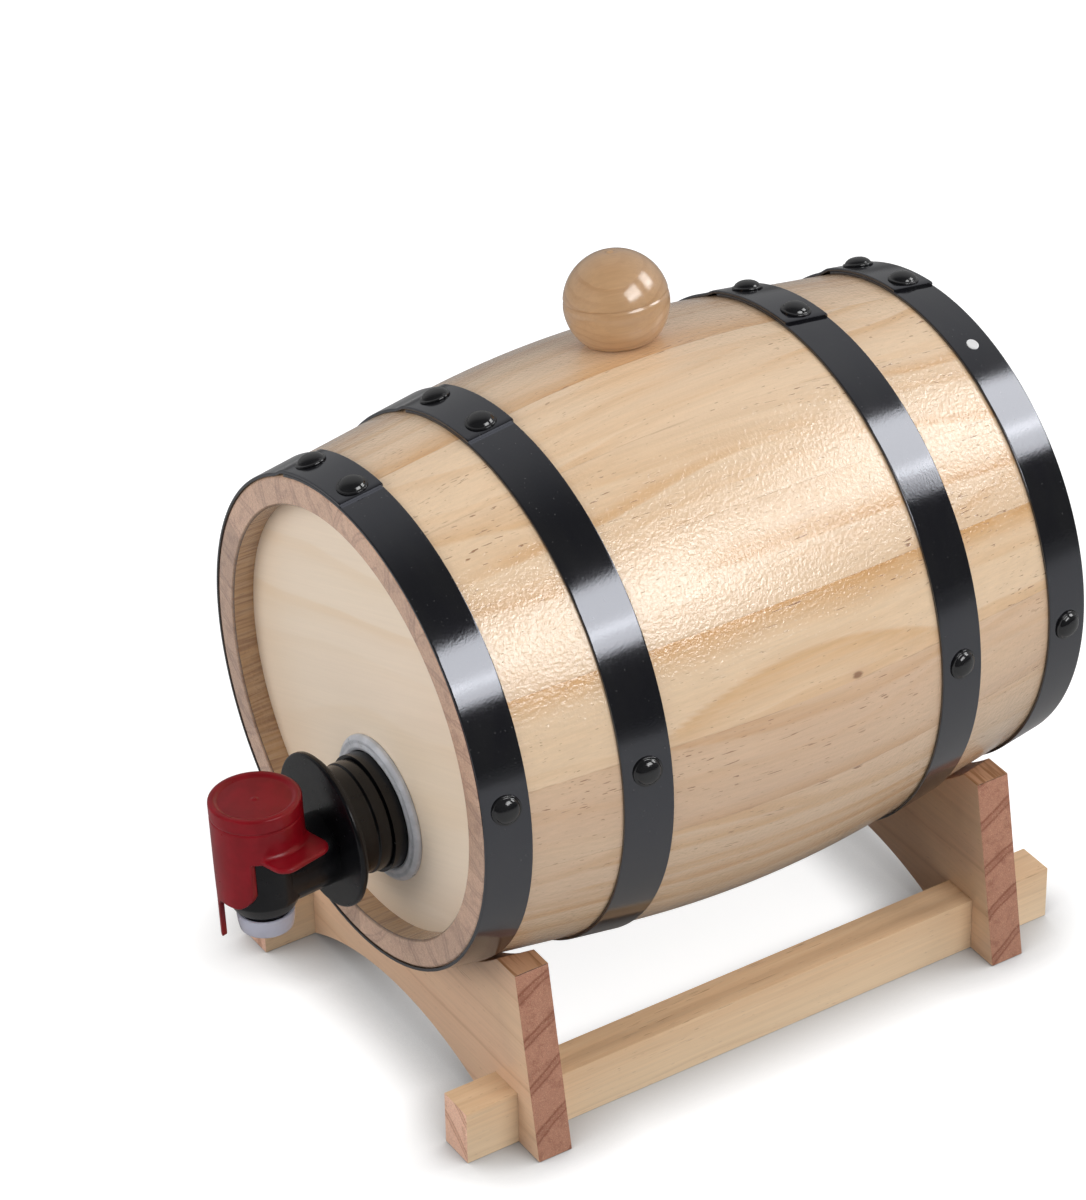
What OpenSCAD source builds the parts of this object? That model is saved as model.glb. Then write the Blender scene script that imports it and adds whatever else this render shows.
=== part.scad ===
// Small pine drinks cask on a cradle stand, with a lever tap fed by a liner bag.
// X runs across the cask, Y along it with the tap at -Y, and Z is up from the floor.

/* [Cask] */
// Length of the cask over the ends of its staves
cask_l = 220; // [200:2:250]
// Outer radius of the wood at the middle of the cask
bilge_r = 91; // [86:0.5:97]
// Outer radius of the wood at the ends of the cask
end_r = 79; // [75:0.5:82]
// Length of the curved middle of the staves, between their straight ends
belly_l = 98; // [80:2:110]
// Thickness of a stave
stave_t = 9.2; // [8:0.2:11]
// Height of the cask's axis above the floor
axis_h = 124.4; // [121:0.2:130]
// Roll of the cask in its cradle, about its own axis
cask_roll = -12; // [-20:1:20]
// How far the middle of the cask lies behind the middle of the stand
cask_back = 1.5; // [0:0.1:1.8]

/* [Heads] */
// Depth of the recess from the end of the staves to the head
recess = 7.5; // [5:0.5:10]
// Thickness of a head
head_t = 6; // [4:0.5:8]
// Depth of the groove that holds the head
croze_depth = 2.5; // [1.5:0.25:3]
// Width of the lip of wood behind the groove
croze_lip = 4; // [3:0.5:6]

/* [Hoops] */
// Thickness of the steel strip
hoop_t = 1; // [0.6:0.1:1.5]
// Width of a hoop at the end of the cask
end_hoop_w = 15; // [12:0.5:16]
// Width of a hoop on the quarter of the cask
quarter_hoop_w = 16; // [12:0.5:18]
// Distance between an end hoop and the quarter hoop beside it
hoop_gap = 29.6; // [25:0.2:32]
// Angle that the two ends of the strip overlap
lap_angle = 25; // [22:1:30]
// Angle between the two rivets in the lap
rivet_spread = 17.5; // [14:0.5:20]
// Radius of a rivet's flange
rivet_r = 4.9; // [3.5:0.1:5.5]
// Height of a rivet's head above the strip
rivet_h = 2.6; // [1.4:0.1:3]
// Radius of the bright nail head in the rear hoop
nail_r = 2; // [1:0.1:3]

/* [Stand] */
// Distance between an end hoop and the cradle board beside it, with the cask in the middle of the stand
board_gap = 2.1; // [2:0.1:5]
// Thickness of a cradle board
board_t = 12; // [9:0.5:12.5]
// Half width of a cradle board at the floor
board_foot_x = 80.8; // [78:0.2:90]
// Half width of a cradle board at its top
board_top_x = 69; // [66:0.2:75]
// Distance from the cask's axis down to the tips of a cradle board
tip_drop = 58.9; // [52:0.1:62]
// Height of the arch under a cradle board
arch_h = 13.8; // [8:0.2:18]
// Length of a rail beyond a cradle board
rail_overhang = 18.5; // [8:0.5:25]
// Width of a rail
rail_w = 12.8; // [8:0.2:14]
// Height of a rail
rail_h = 19.2; // [15:0.2:24]
// Distance from the middle of the stand to the inner side of a rail
rail_x = 56; // [52:0.2:60]
// Length of a screw that holds a rail to a cradle board
screw_l = 34; // [28:1:38]

/* [Bung] */
// How far the bung lies behind the middle of the cask
bung_back = 3; // [0:0.5:6]
// Radius of the turned knob
knob_r = 16.5; // [13:0.1:18]
// Radius of the flat foot of the knob
knob_foot_r = 11.3; // [10.2:0.1:12]
// Radius of the bung hole
bung_hole_r = 9.5; // [7:0.1:10]
// Length of the cork under the knob
cork_l = 16; // [11:0.5:18]
// Radius of the dowel that joins the knob and the cork
dowel_r = 4; // [3:0.1:5]

/* [Tap] */
// Distance from the axis of the cask down to the axis of the tap's inlet
tap_drop = 31; // [28:0.5:36]
// Turn of the tap in its gland, against the roll of the cask
tap_turn = 8; // [0:1:20]
// Radius of the gland's neck in the front head
gland_r = 19; // [18.5:0.1:20]
// Radius of the gland's bore, which holds the inlet of the tap
gland_bore_r = 14.5; // [13:0.1:15]
// Width of the grey sealing ring round the gland
seal_w = 4.8; // [3:0.1:6]
// Radius of the neck behind the grip flange
neck_r = 17.9; // [16:0.1:19]
// Radius of the grip flange
flange_r = 25; // [22:0.5:28]
// Thickness of the grip flange
flange_t = 3; // [2:0.1:4]
// Distance from the end of the cask to the back of the grip flange
flange_out = 11.5; // [9:0.5:13]
// Distance from the end of the cask to the axis of the valve
valve_out = 35.6; // [35:0.2:42]
// Outer radius of the valve housing
housing_r = 12.3; // [11:0.1:12.5]
// Height of the tap's collar top above the inlet axis
collar_top = 21; // [20:0.2:25]
// Radius of the spout
spout_r = 7.35; // [6.8:0.05:8]
// Distance from the inlet axis down to the mouth of the spout
spout_drop = 22.2; // [21:0.2:26]
// Radius of the cap under the spout
cap_r = 9; // [8.6:0.1:11]
// Lift of the valve stem when the collar is turned
stem_lift = 3; // [1:0.1:3]

/* [Collar] */
// Wall of the collar
collar_wall = 1.8; // [1.2:0.1:2.4]
// Height of the collar without its skirt
collar_h = 15.7; // [12:0.1:16]
// Turn of the collar at rest, with the valve shut
collar_turn = 13; // [0:1:15]
// Reach of the wing from the axis of the collar
wing_reach = 21.8; // [19:0.1:22]
// Length of the wing along the collar
wing_l = 20.5; // [16:0.5:21]
// Thickness of the wing
wing_t = 1.8; // [1.2:0.1:2.4]
// Depth of the skirt below the collar
skirt_h = 17.3; // [10:0.1:19]
// Length of the pull tab below the skirt
tab_l = 14.5; // [8:0.5:16]
// Width of the pull tab
tab_w = 2; // [1.4:0.1:3]

/* [Hidden] */
$fn = 96;
SIDES = ["left", "right"];

// Clearances
snug = 0.05;   // between pieces that are fixed to each other
run_fit = 0.08;   // between a shaft and its bore, radially
seat_gap = 0.3;   // between the cask and its cradle
seat_ease = 6;   // how much wider the cradle's seat is than the cask

STAVES = [
    "stave_01", "stave_02", "stave_03", "stave_04", "stave_05", "stave_06",
    "stave_07", "stave_08", "stave_09", "stave_10", "stave_11", "stave_12",
    "stave_13", "stave_14", "stave_15", "stave_16", "stave_17", "stave_18"
];
stave_count = len(STAVES);
stave_angle = 360 / stave_count;

// Hoops and cradle boards keep their place from the ends of the cask, and the boards' tips from its axis
quarter_hoop_y = cask_l / 2 - end_hoop_w - hoop_gap - quarter_hoop_w / 2;
board_y = cask_l / 2 - end_hoop_w - board_gap - board_t / 2;
board_h = axis_h - tip_drop;
rail_l = 2 * (board_y + board_t / 2 + rail_overhang);

// Each hoop: name, place of its middle along the cask, width, turn of its lap, angle of its side rivet
HOOPS = [
    ["front_end_hoop", -(cask_l - end_hoop_w) / 2, end_hoop_w, 1, 92],
    ["front_quarter_hoop", -quarter_hoop_y, quarter_hoop_w, 1, 93],
    ["rear_quarter_hoop", quarter_hoop_y, quarter_hoop_w, 1, 97],
    ["rear_end_hoop", (cask_l - end_hoop_w) / 2, end_hoop_w, -3, 101]
];

// The stand's middle is shifted so that the whole object is centred on the origin.
collar_r = housing_r + seat_gap + collar_wall;
front_reach = cask_l / 2 - cask_back + valve_out + collar_r;
rear_reach = max(rail_l / 2, cask_l / 2 + cask_back);
stand_y = (front_reach - rear_reach) / 2;

// Outline of the wood: straight ends that run tangent into a curved belly
belly_half = belly_l / 2;
stave_slope = (bilge_r - end_r) / (cask_l / 2 - belly_half / 2);
function wood_r(y) =
    abs(y) < belly_half
        ? bilge_r - stave_slope * y * y / belly_l
        : end_r + stave_slope * (cask_l / 2 - abs(y));
belly_steps = 8;
function belly_points(inset, dir) = [
    for (i = [-belly_steps : belly_steps])
        let (y = dir * belly_half * i / belly_steps) [wood_r(y) - inset, y]
];

// Head and groove
mouth_r = end_r - stave_t;
head_r = mouth_r + croze_depth - snug;
head_out = cask_l / 2 - recess;
head_in = head_out - head_t;
groove_in = head_in - snug;
lip_in = groove_in - croze_lip;

// Rivets
rivet_flange_t = 0.6;
rivet_rim = 0.7;
rivet_dome_r = rivet_r - rivet_rim;
rivet_shank_r = 1.4;
shank_root = 0.3;
nail_shank_r = 0.9;
nail_proud = 0.3;
hole_ease = 0.05;
rivet_sides = 48;

// Bung
knob_rise = sqrt(knob_r * knob_r - knob_foot_r * knob_foot_r);
groove_rise = 2.2;
groove_cut = 0.45;
nub_r = 0.9;
dowel_in_knob = 14;

// Liner bag
bag_gap = 10;
bag_wall = 0.8;
bag_round = 12;

// Tap, in its own frame: inlet along Y, the cask's end at Y = 0, spout downwards
seal_t = 2.6;
gland_front = 1;
gland_flange_r = gland_r + 5;
gland_flange_t = 2;
gland_back = recess + head_t + gland_flange_t + 0.2;
spigot_r = gland_bore_r - run_fit;
spigot_end = gland_back + 1;
inlet_bore_r = 6.5;
bore_drop = 3;
tube_r = 11.5;
tube_drop = 6;
tube_slope = 1.5;
body_bottom = -17.6;
bottom_r = 9.7;
bottom_bevel = 4.6;
chamber_r = 8;
port_r = 5.4;
port_floor = -14.6;
chamber_top = 9;
housing_top = collar_top - 6.4;
diaphragm_t = 2;
stem_r = 2.2;
valve_head_r = 7.2;
valve_head_t = 2.2;
valve_seal_t = 1;
collar_bottom = collar_top - collar_h;
collar_roof = 2;
boss_r = 4.6;
boss_h = 3;
dish = 0.8;
cap_h = 6.2;
cap_lap = 2.7;
cap_wall = 1.4;
cap_plug_r = 4.9;
cap_plug_l = 4;

// Collar
wing_corner = 4.5;
wing_shift = 1;
wing_ease = 0.4;
skirt_left = 10.2;
skirt_right = 8.6;
skirt_round = 7;
tab_x = 7.6;
parting_drop = 5.2;
parting_w = 0.5;
parting_cut = 0.3;
dish_rim = 2;

// Screws
screw_r = 1.75;
screw_head_r = 3.6;
screw_head_t = 2.4;
screw_recess = 1;

// ---------- placing ----------

// Moves the children from the stand's frame to the object's
module at_stand() {
    translate([0, stand_y, 0]) children();
}

// Moves the children from the cask's frame, centred on its axis, to the object's
module at_cask() {
    at_stand() translate([0, cask_back, axis_h]) rotate([0, cask_roll, 0]) children();
}

// Moves the children from the tap's frame to the object's
module at_tap() {
    at_cask() translate([0, -cask_l / 2, -tap_drop]) rotate([0, tap_turn, 0]) children();
}

// Moves the children onto the axis of the valve
module at_valve() {
    at_tap() translate([0, -valve_out, 0]) children();
}

// Moves the children onto the bung's seat, at the top of the belly
module at_bung() {
    at_cask() translate([0, bung_back, bilge_r + snug]) children();
}

// Turns a profile of [radius, y] points about the Y axis
module turn_y(angle = 360, middle = 0) {
    rotate([-90, 0, 0]) rotate([0, 0, middle - 90 - angle / 2])
        rotate_extrude(angle = angle) children();
}

// Turns the children from the top of the cask to an angle towards +X
module around(angle) {
    rotate([0, angle, 0]) children();
}

// ---------- cask ----------

module stave_profile() {
    polygon(concat(
        [[end_r, -cask_l / 2]],
        belly_points(0, 1),
        [
            [end_r, cask_l / 2],
            [mouth_r, cask_l / 2],
            [mouth_r, head_out],
            [mouth_r + croze_depth, head_out],
            [mouth_r + croze_depth, groove_in],
            [mouth_r, groove_in],
            [mouth_r, lip_in]
        ],
        belly_points(stave_t, -1),
        [
            [mouth_r, -lip_in],
            [mouth_r, -groove_in],
            [mouth_r + croze_depth, -groove_in],
            [mouth_r + croze_depth, -head_out],
            [mouth_r, -head_out],
            [mouth_r, -cask_l / 2]
        ]
    ));
}

// One stave; the first is bored for the bung, and each clears the shanks of the rivets
module stave(i) {
    color(i % 2 == 0 ? "burlywood" : "wheat")
        at_cask() difference() {
            turn_y(stave_angle, i * stave_angle) stave_profile();
            if (i == 0) translate([0, bung_back, 0]) cylinder(r = bung_hole_r, h = bilge_r + 5);
            all_shanks(hole_ease);
        }
}

module head_disc() {
    difference() {
        turn_y() translate([0, -head_out]) square([head_r, head_t]);
        children();
    }
}

module front_head() {
    color("moccasin") at_cask() head_disc()
        translate([0, -cask_l / 2, -tap_drop])
            turn_y() translate([0, -1]) square([gland_r + snug, recess + head_t + 5]);
}

module rear_head() {
    color("moccasin") at_cask() rotate([0, 0, 180]) head_disc();
}

// ---------- hoops ----------

// The strip's section between two radii above the wood
module strip_section(y, w, low, high) {
    edges = [y - w / 2, y + w / 2];
    polygon([
        [wood_r(edges[0]) + low, edges[0]],
        [wood_r(edges[0]) + high, edges[0]],
        [wood_r(edges[1]) + high, edges[1]],
        [wood_r(edges[1]) + low, edges[1]]
    ]);
}

// A ring of strip whose ends overlap by the lap
module hoop(h) {
    y = h[1];
    w = h[2];
    color("dimgray") at_cask() difference() {
        union() {
            turn_y() strip_section(y, w, snug, snug + hoop_t);
            turn_y(lap_angle, h[3]) strip_section(y, w, snug + hoop_t / 2, snug + 2 * hoop_t);
        }
        hoop_shanks(h, hole_ease);
        if (y == HOOPS[3][1]) nail_place() cylinder(r = nail_r + hole_ease, h = 6 * hoop_t, center = true);
    }
}

// Angles of a hoop's rivets: two in the lap, one on each side
function rivet_angles(h) = [
    h[3] - rivet_spread / 2, h[3] + rivet_spread / 2, h[4], -h[4]
];
function strip_layers(h, a) = abs(a - h[3]) < lap_angle / 2 ? 2 : 1;

// Stands the children on the outside of a hoop, at an angle and as high as its layers
module on_hoop(h, a, layers) {
    around(a) translate([0, h[1], wood_r(h[1]) + snug + layers * hoop_t])
        rotate([h[1] < 0 ? atan(stave_slope) : -atan(stave_slope), 0, 0]) children();
}

module rivet() {
    translate([0, 0, hole_ease]) {
        cylinder(r = rivet_r, h = rivet_flange_t, $fn = rivet_sides);
        dome_rise = rivet_h - rivet_flange_t;
        ball_r = (rivet_dome_r * rivet_dome_r + dome_rise * dome_rise) / (2 * dome_rise);
        translate([0, 0, rivet_flange_t]) intersection() {
            translate([0, 0, dome_rise - ball_r]) sphere(r = ball_r, $fn = rivet_sides);
            cylinder(r = rivet_r, h = rivet_h, $fn = rivet_sides);
        }
    }
    shank(0);
}

module shank(ease) {
    shank_l = stave_t * 0.7;
    translate([0, 0, -shank_l]) cylinder(r = rivet_shank_r + ease, h = shank_l + shank_root, $fn = rivet_sides);
}

module hoop_shanks(h, ease) {
    for (a = rivet_angles(h)) on_hoop(h, a, strip_layers(h, a)) shank(ease);
}

module all_shanks(ease) {
    for (h = HOOPS) hoop_shanks(h, ease);
    nail_place() translate([0, 0, -hoop_t - stave_t / 2 - ease])
        cylinder(r = nail_shank_r + ease, h = hoop_t + stave_t / 2, $fn = rivet_sides);
}

module hoop_rivets(h) {
    color("black") at_cask()
        for (a = rivet_angles(h)) on_hoop(h, a, strip_layers(h, a)) rivet();
}

nail_angle = 32;
module nail_place() {
    on_hoop(HOOPS[3], nail_angle, 1) children();
}

// A flush bright nail through the rear hoop into its stave
module rear_hoop_nail() {
    color("white") at_cask() nail_place() {
        translate([0, 0, -hoop_t]) cylinder(r = nail_r, h = hoop_t + nail_proud, $fn = rivet_sides);
        translate([0, 0, -hoop_t - stave_t / 2]) cylinder(r = nail_shank_r, h = (stave_t + hoop_t) / 2, $fn = rivet_sides);
    }
}

// ---------- liner bag and its gland ----------

module bag_outline(inset) {
    half_l = head_in - gland_flange_t - 0.6 - inset;
    middle_r = bilge_r - stave_t - bag_gap - inset;
    side_r = wood_r(half_l) - stave_t - bag_gap / 2 - inset;
    polygon(concat(
        [[0, -half_l], [side_r - bag_round, -half_l]],
        [for (a = [-75 : 15 : 0])
            [side_r - bag_round + bag_round * cos(a), -half_l + bag_round + bag_round * sin(a)]],
        [[middle_r, 0]],
        [for (a = [0 : 15 : 75])
            [side_r - bag_round + bag_round * cos(a), half_l - bag_round + bag_round * sin(a)]],
        [[side_r - bag_round, half_l], [0, half_l]]
    ));
}

module liner_bag() {
    color("lightsteelblue") at_cask() difference() {
        turn_y() bag_outline(0);
        turn_y() bag_outline(bag_wall);
        translate([0, -cask_l / 2, -tap_drop]) turn_y() square([gland_bore_r, gland_back + 5]);
    }
}

module bag_gland() {
    color("black") at_tap() turn_y() polygon([
        [gland_bore_r, gland_front],
        [gland_r, gland_front],
        [gland_r, recess + head_t + 0.2],
        [gland_flange_r, recess + head_t + 0.2],
        [gland_flange_r, gland_back],
        [gland_bore_r, gland_back]
    ]);
}

// Rounded grey ring between the gland and the face of the head
module sealing_ring() {
    color("silver") at_tap() turn_y() intersection() {
        translate([gland_r + snug, recess - seal_t]) square([seal_w, seal_t - snug]);
        translate([gland_r + snug + seal_w / 2, recess - snug]) circle(r = seal_w / 2 + 0.35);
    }
}

// ---------- tap ----------

module tap_body() {
    color([0.09, 0.09, 0.1]) at_tap() difference() {
        union() {
            // Inlet spigot, neck and grip flange
            turn_y() polygon([
                [0, spigot_end],
                [spigot_r, spigot_end],
                [spigot_r, gland_front - 0.2],
                [neck_r, gland_front - 0.2],
                [neck_r, -flange_out],
                [flange_r, -flange_out],
                [flange_r, -flange_out - flange_t],
                [0, -flange_out - flange_t]
            ]);
            // Tube from the flange to the valve housing
            tube_l = valve_out - flange_out - flange_t / 2;
            tube_tilt = atan(tube_slope / tube_l);
            translate([0, -valve_out, -tube_drop - tube_slope]) rotate([tube_tilt - 90, 0, 0])
                cylinder(r = tube_r, h = tube_l / cos(tube_tilt));
            // Valve housing and spout
            translate([0, -valve_out, 0]) {
                translate([0, 0, body_bottom + bottom_bevel])
                    cylinder(r = housing_r, h = housing_top - body_bottom - bottom_bevel);
                translate([0, 0, body_bottom]) cylinder(r1 = bottom_r, r2 = housing_r, h = bottom_bevel);
                translate([0, 0, -spout_drop]) cylinder(r = spout_r, h = 10);
            }
        }
        // Waterway
        translate([0, -valve_out, 0]) {
            translate([0, 0, -bore_drop]) rotate([-90, 0, 0])
                cylinder(r = inlet_bore_r, h = valve_out + spigot_end + 1);
            translate([0, 0, port_floor]) cylinder(r = chamber_r, h = chamber_top - port_floor);
            translate([0, 0, -spout_drop - 1]) cylinder(r = port_r, h = spout_drop);
            // Seat of the diaphragm, open at the top
            translate([0, 0, chamber_top - 0.01]) cylinder(r = chamber_r + 1.5, h = housing_top);
        }
    }
}

// Soft disc that closes the top of the valve chamber round the stem
module tap_diaphragm() {
    color("gainsboro") at_valve() translate([0, 0, chamber_top + snug]) difference() {
        cylinder(r = chamber_r + 1.5 - snug, h = diaphragm_t);
        translate([0, 0, -1]) cylinder(r = stem_r + run_fit, h = diaphragm_t + 2);
    }
}

module tap_stem() {
    color("whitesmoke") at_valve() {
        translate([0, 0, port_floor + valve_seal_t + 0.1]) cylinder(r = valve_head_r, h = valve_head_t);
        translate([0, 0, port_floor + valve_seal_t + 1])
            cylinder(r = stem_r, h = collar_top - collar_roof - 0.3 - port_floor - valve_seal_t - 1);
    }
}

// Ring of rubber under the head of the stem
module valve_seal() {
    color("dimgray") at_valve() translate([0, 0, port_floor + 0.1]) difference() {
        cylinder(r = valve_head_r - 0.2, h = valve_seal_t);
        translate([0, 0, -1]) cylinder(r = port_r - 1.6, h = valve_seal_t + 2);
    }
}

// ---------- collar ----------

// Outline of the wing, from the collar's axis to its rounded outer corners
module wing_outline() {
    half_x = wing_reach - wing_corner;
    half_y = wing_l / 2 - wing_corner;
    translate([0, wing_shift]) union() {
        translate([0, -half_y]) square([wing_reach, 2 * half_y]);
        translate([0, -wing_l / 2]) square([half_x, wing_l]);
        for (side = [-1, 1]) translate([half_x, side * half_y]) circle(r = wing_corner);
    }
}

// Front view of the skirt: straight at one side, rounded at the other, with the pull tab
module skirt_outline() {
    low = collar_bottom - skirt_h;
    polygon(concat(
        [[-skirt_left, collar_bottom], [-tab_x, low]],
        [for (a = [-90 : 15 : 0])
            [skirt_right - skirt_round + skirt_round * cos(a), low + skirt_round + skirt_round * sin(a)]],
        [[skirt_right, collar_bottom]]
    ));
    translate([-tab_x, low - tab_l + tab_w / 2]) square([tab_w, tab_l]);
    translate([-tab_x + tab_w / 2, low - tab_l + tab_w / 2]) circle(r = tab_w / 2);
}

module tap_collar() {
    inner_r = collar_r - collar_wall;
    color("firebrick") at_valve() rotate([0, 0, collar_turn]) {
        // Cap with a dished top and a parting groove
        difference() {
            translate([0, 0, collar_bottom]) cylinder(r = collar_r, h = collar_h);
            translate([0, 0, collar_bottom - 1]) cylinder(r = inner_r, h = collar_h - collar_roof + 1);
            dish_r = collar_r - dish_rim;
            ball_r = (dish_r * dish_r + dish * dish) / (2 * dish);
            translate([0, 0, collar_top + ball_r - dish]) sphere(r = ball_r, $fn = 200);
            translate([0, 0, collar_top - parting_drop]) difference() {
                cylinder(r = collar_r + 1, h = parting_w);
                translate([0, 0, -1]) cylinder(r = collar_r - parting_cut, h = parting_w + 2);
            }
        }
        // Socket for the stem
        translate([0, 0, collar_top - collar_roof - boss_h]) difference() {
            cylinder(r = boss_r, h = boss_h + 0.5);
            translate([0, 0, -1]) cylinder(r = stem_r + run_fit, h = boss_h + 1 - 0.1);
        }
        // Wing
        difference() {
            translate([0, 0, collar_bottom]) linear_extrude(wing_t) wing_outline();
            translate([0, 0, collar_bottom - 1]) cylinder(r = inner_r + wing_ease, h = wing_t + 2);
        }
        // Skirt and pull tab, cut from the collar's own cylinder
        skirt_foot = collar_bottom - skirt_h - tab_l - 1;
        skirt_room = collar_bottom + 1 - skirt_foot;
        intersection() {
            translate([0, 0, skirt_foot]) difference() {
                cylinder(r = collar_r, h = skirt_room);
                translate([0, 0, -1]) cylinder(r = inner_r, h = skirt_room + 2);
            }
            rotate([90, 0, 0]) linear_extrude(collar_r + 1) skirt_outline();
        }
    }
}

// Cup that closes the spout, with a plug that grips inside it
module spout_cap() {
    top = -spout_drop + cap_lap;
    color([0.9, 0.9, 0.93]) at_valve() {
        difference() {
            translate([0, 0, top - cap_h]) cylinder(r = cap_r, h = cap_h);
            translate([0, 0, top - cap_h + cap_wall]) cylinder(r = cap_r - cap_wall + 0.1, h = cap_h);
        }
        translate([0, 0, top - cap_h + cap_wall - 0.5]) difference() {
            cylinder(r = cap_plug_r, h = cap_h - cap_wall + cap_plug_l - 0.5);
            translate([0, 0, 1]) cylinder(r = cap_plug_r - 1.2, h = cap_h + cap_plug_l);
        }
    }
}

// ---------- bung ----------

module bung_knob() {
    color("peru") at_bung() difference() {
        union() {
            intersection() {
                translate([0, 0, knob_rise]) sphere(r = knob_r);
                cylinder(r = knob_r + 1, h = 3 * knob_r);
            }
            translate([0, 0, knob_rise + knob_r - 0.3]) cylinder(r = nub_r, h = 0.7);
        }
        // Turned groove just above the widest part
        translate([0, 0, knob_rise + groove_rise]) rotate_extrude()
            translate([knob_r, 0]) circle(r = groove_cut, $fn = 16);
        translate([0, 0, -1]) cylinder(r = dowel_r + snug, h = dowel_in_knob + 1);
    }
}

module bung_dowel() {
    color("tan") at_bung() translate([0, 0, -cork_l + 2])
        cylinder(r = dowel_r, h = cork_l - 2 + dowel_in_knob - 0.3);
}

module bung_cork() {
    color("sienna") at_bung() translate([0, 0, -cork_l]) difference() {
        cylinder(r = bung_hole_r - run_fit, h = cork_l - snug);
        translate([0, 0, 2 - 0.1]) cylinder(r = dowel_r + snug, h = cork_l);
    }
}

// ---------- stand ----------

// Front view of a cradle board: sloping sides, arch below and notches for the rails
module board_outline() {
    arch_half = rail_x;
    arch_r = (arch_half * arch_half + arch_h * arch_h) / (2 * arch_h);
    difference() {
        polygon([
            [-board_foot_x, 0], [board_foot_x, 0], [board_top_x, board_h], [-board_top_x, board_h]
        ]);
        intersection() {
            translate([0, arch_h - arch_r]) circle(r = arch_r, $fn = 360);
            translate([-arch_half, -1]) square([2 * arch_half, arch_h + 2]);
        }
        for (s = [-1, 1]) translate([s * (rail_x + rail_w / 2), rail_h / 2 - 0.5])
            square([rail_w + 2 * snug, rail_h + 1 + 2 * snug], center = true);
    }
}

// Board under one end of the cask; its seat follows the outline of the staves
module cradle(end) {
    color("tan") at_stand() difference() {
        translate([0, end * board_y + board_t / 2, 0]) rotate([90, 0, 0])
            linear_extrude(board_t) board_outline();
        translate([0, cask_back, axis_h + seat_ease - seat_gap])
            turn_y() polygon(concat(
                [[0, -cask_l / 2]],
                [[end_r + seat_ease, -cask_l / 2]],
                [for (p = belly_points(-seat_ease, 1)) p],
                [[end_r + seat_ease, cask_l / 2], [0, cask_l / 2]]
            ));
        screw_holes();
    }
}

module rail(s) {
    color("burlywood") at_stand() difference() {
        translate([s * (rail_x + rail_w / 2), 0, rail_h / 2])
            cube([rail_w, rail_l, rail_h], center = true);
        screw_holes();
    }
}

// Stands the children under each crossing of a rail and a cradle board
module at_crossings() {
    for (s = [-1, 1], end = [-1, 1])
        translate([s * (rail_x + rail_w / 2), end * board_y, screw_recess]) children();
}

module screw_solid(ease) {
    cylinder(r = screw_r + ease, h = screw_l + ease, $fn = 32);
    cylinder(r1 = screw_head_r + ease, r2 = screw_r + ease, h = screw_head_t, $fn = 32);
}

module screw_holes() {
    at_crossings() {
        screw_solid(snug);
        translate([0, 0, -screw_recess - 1]) cylinder(r = screw_head_r + snug, h = screw_recess + 1.01, $fn = 32);
    }
}

module rail_screws() {
    color("goldenrod") at_stand() at_crossings() screw_solid(0);
}

// ---------- nodes ----------

for (i = [0 : stave_count - 1])
    stave(i);
for (h = HOOPS) {
    hoop(h);
    hoop_rivets(h);
}
front_head();
rear_head();
rear_hoop_nail();
sealing_ring();
bag_gland();
liner_bag();
tap_body();
tap_diaphragm();
tap_stem();
valve_seal();
tap_collar();
spout_cap();
bung_knob();
bung_dowel();
bung_cork();
cradle(-1);  // front_cradle
cradle(1);  // rear_cradle
rail(-1);  // left_rail
rail(1);  // right_rail
rail_screws();
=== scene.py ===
"""Dresses a small pine drinks cask on its cradle stand.

The wood is varnished, the hoops are black steel, the bung is turned and the tap is red and black plastic.
"""

import logging
import math
import random
from dataclasses import dataclass
from enum import Enum
from typing import Any, Optional, Sequence

import bmesh
import bpy
from mathutils import Matrix, Vector, noise


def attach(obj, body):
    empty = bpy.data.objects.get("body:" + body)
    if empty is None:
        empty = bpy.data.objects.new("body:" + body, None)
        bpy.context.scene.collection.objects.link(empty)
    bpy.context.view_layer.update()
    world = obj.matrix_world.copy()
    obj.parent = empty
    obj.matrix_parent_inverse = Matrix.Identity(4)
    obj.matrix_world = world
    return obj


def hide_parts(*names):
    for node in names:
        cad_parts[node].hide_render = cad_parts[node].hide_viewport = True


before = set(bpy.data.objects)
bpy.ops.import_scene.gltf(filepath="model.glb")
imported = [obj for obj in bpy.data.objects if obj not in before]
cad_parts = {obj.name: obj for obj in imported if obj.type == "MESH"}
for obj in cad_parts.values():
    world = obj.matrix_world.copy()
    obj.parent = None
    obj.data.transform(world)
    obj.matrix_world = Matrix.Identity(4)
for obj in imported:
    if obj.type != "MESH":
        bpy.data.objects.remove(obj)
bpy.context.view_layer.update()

MM = 0.001
LOG = logging.getLogger("cask")
Point = tuple[float, float]
Triple = tuple[float, float, float]
Colour = Triple


def unit(value: float) -> float:
    """Keeps a number between 0 and 1."""
    return min(1.0, max(0.0, value))


# ---------------------------------------------------------------- node trees


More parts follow.
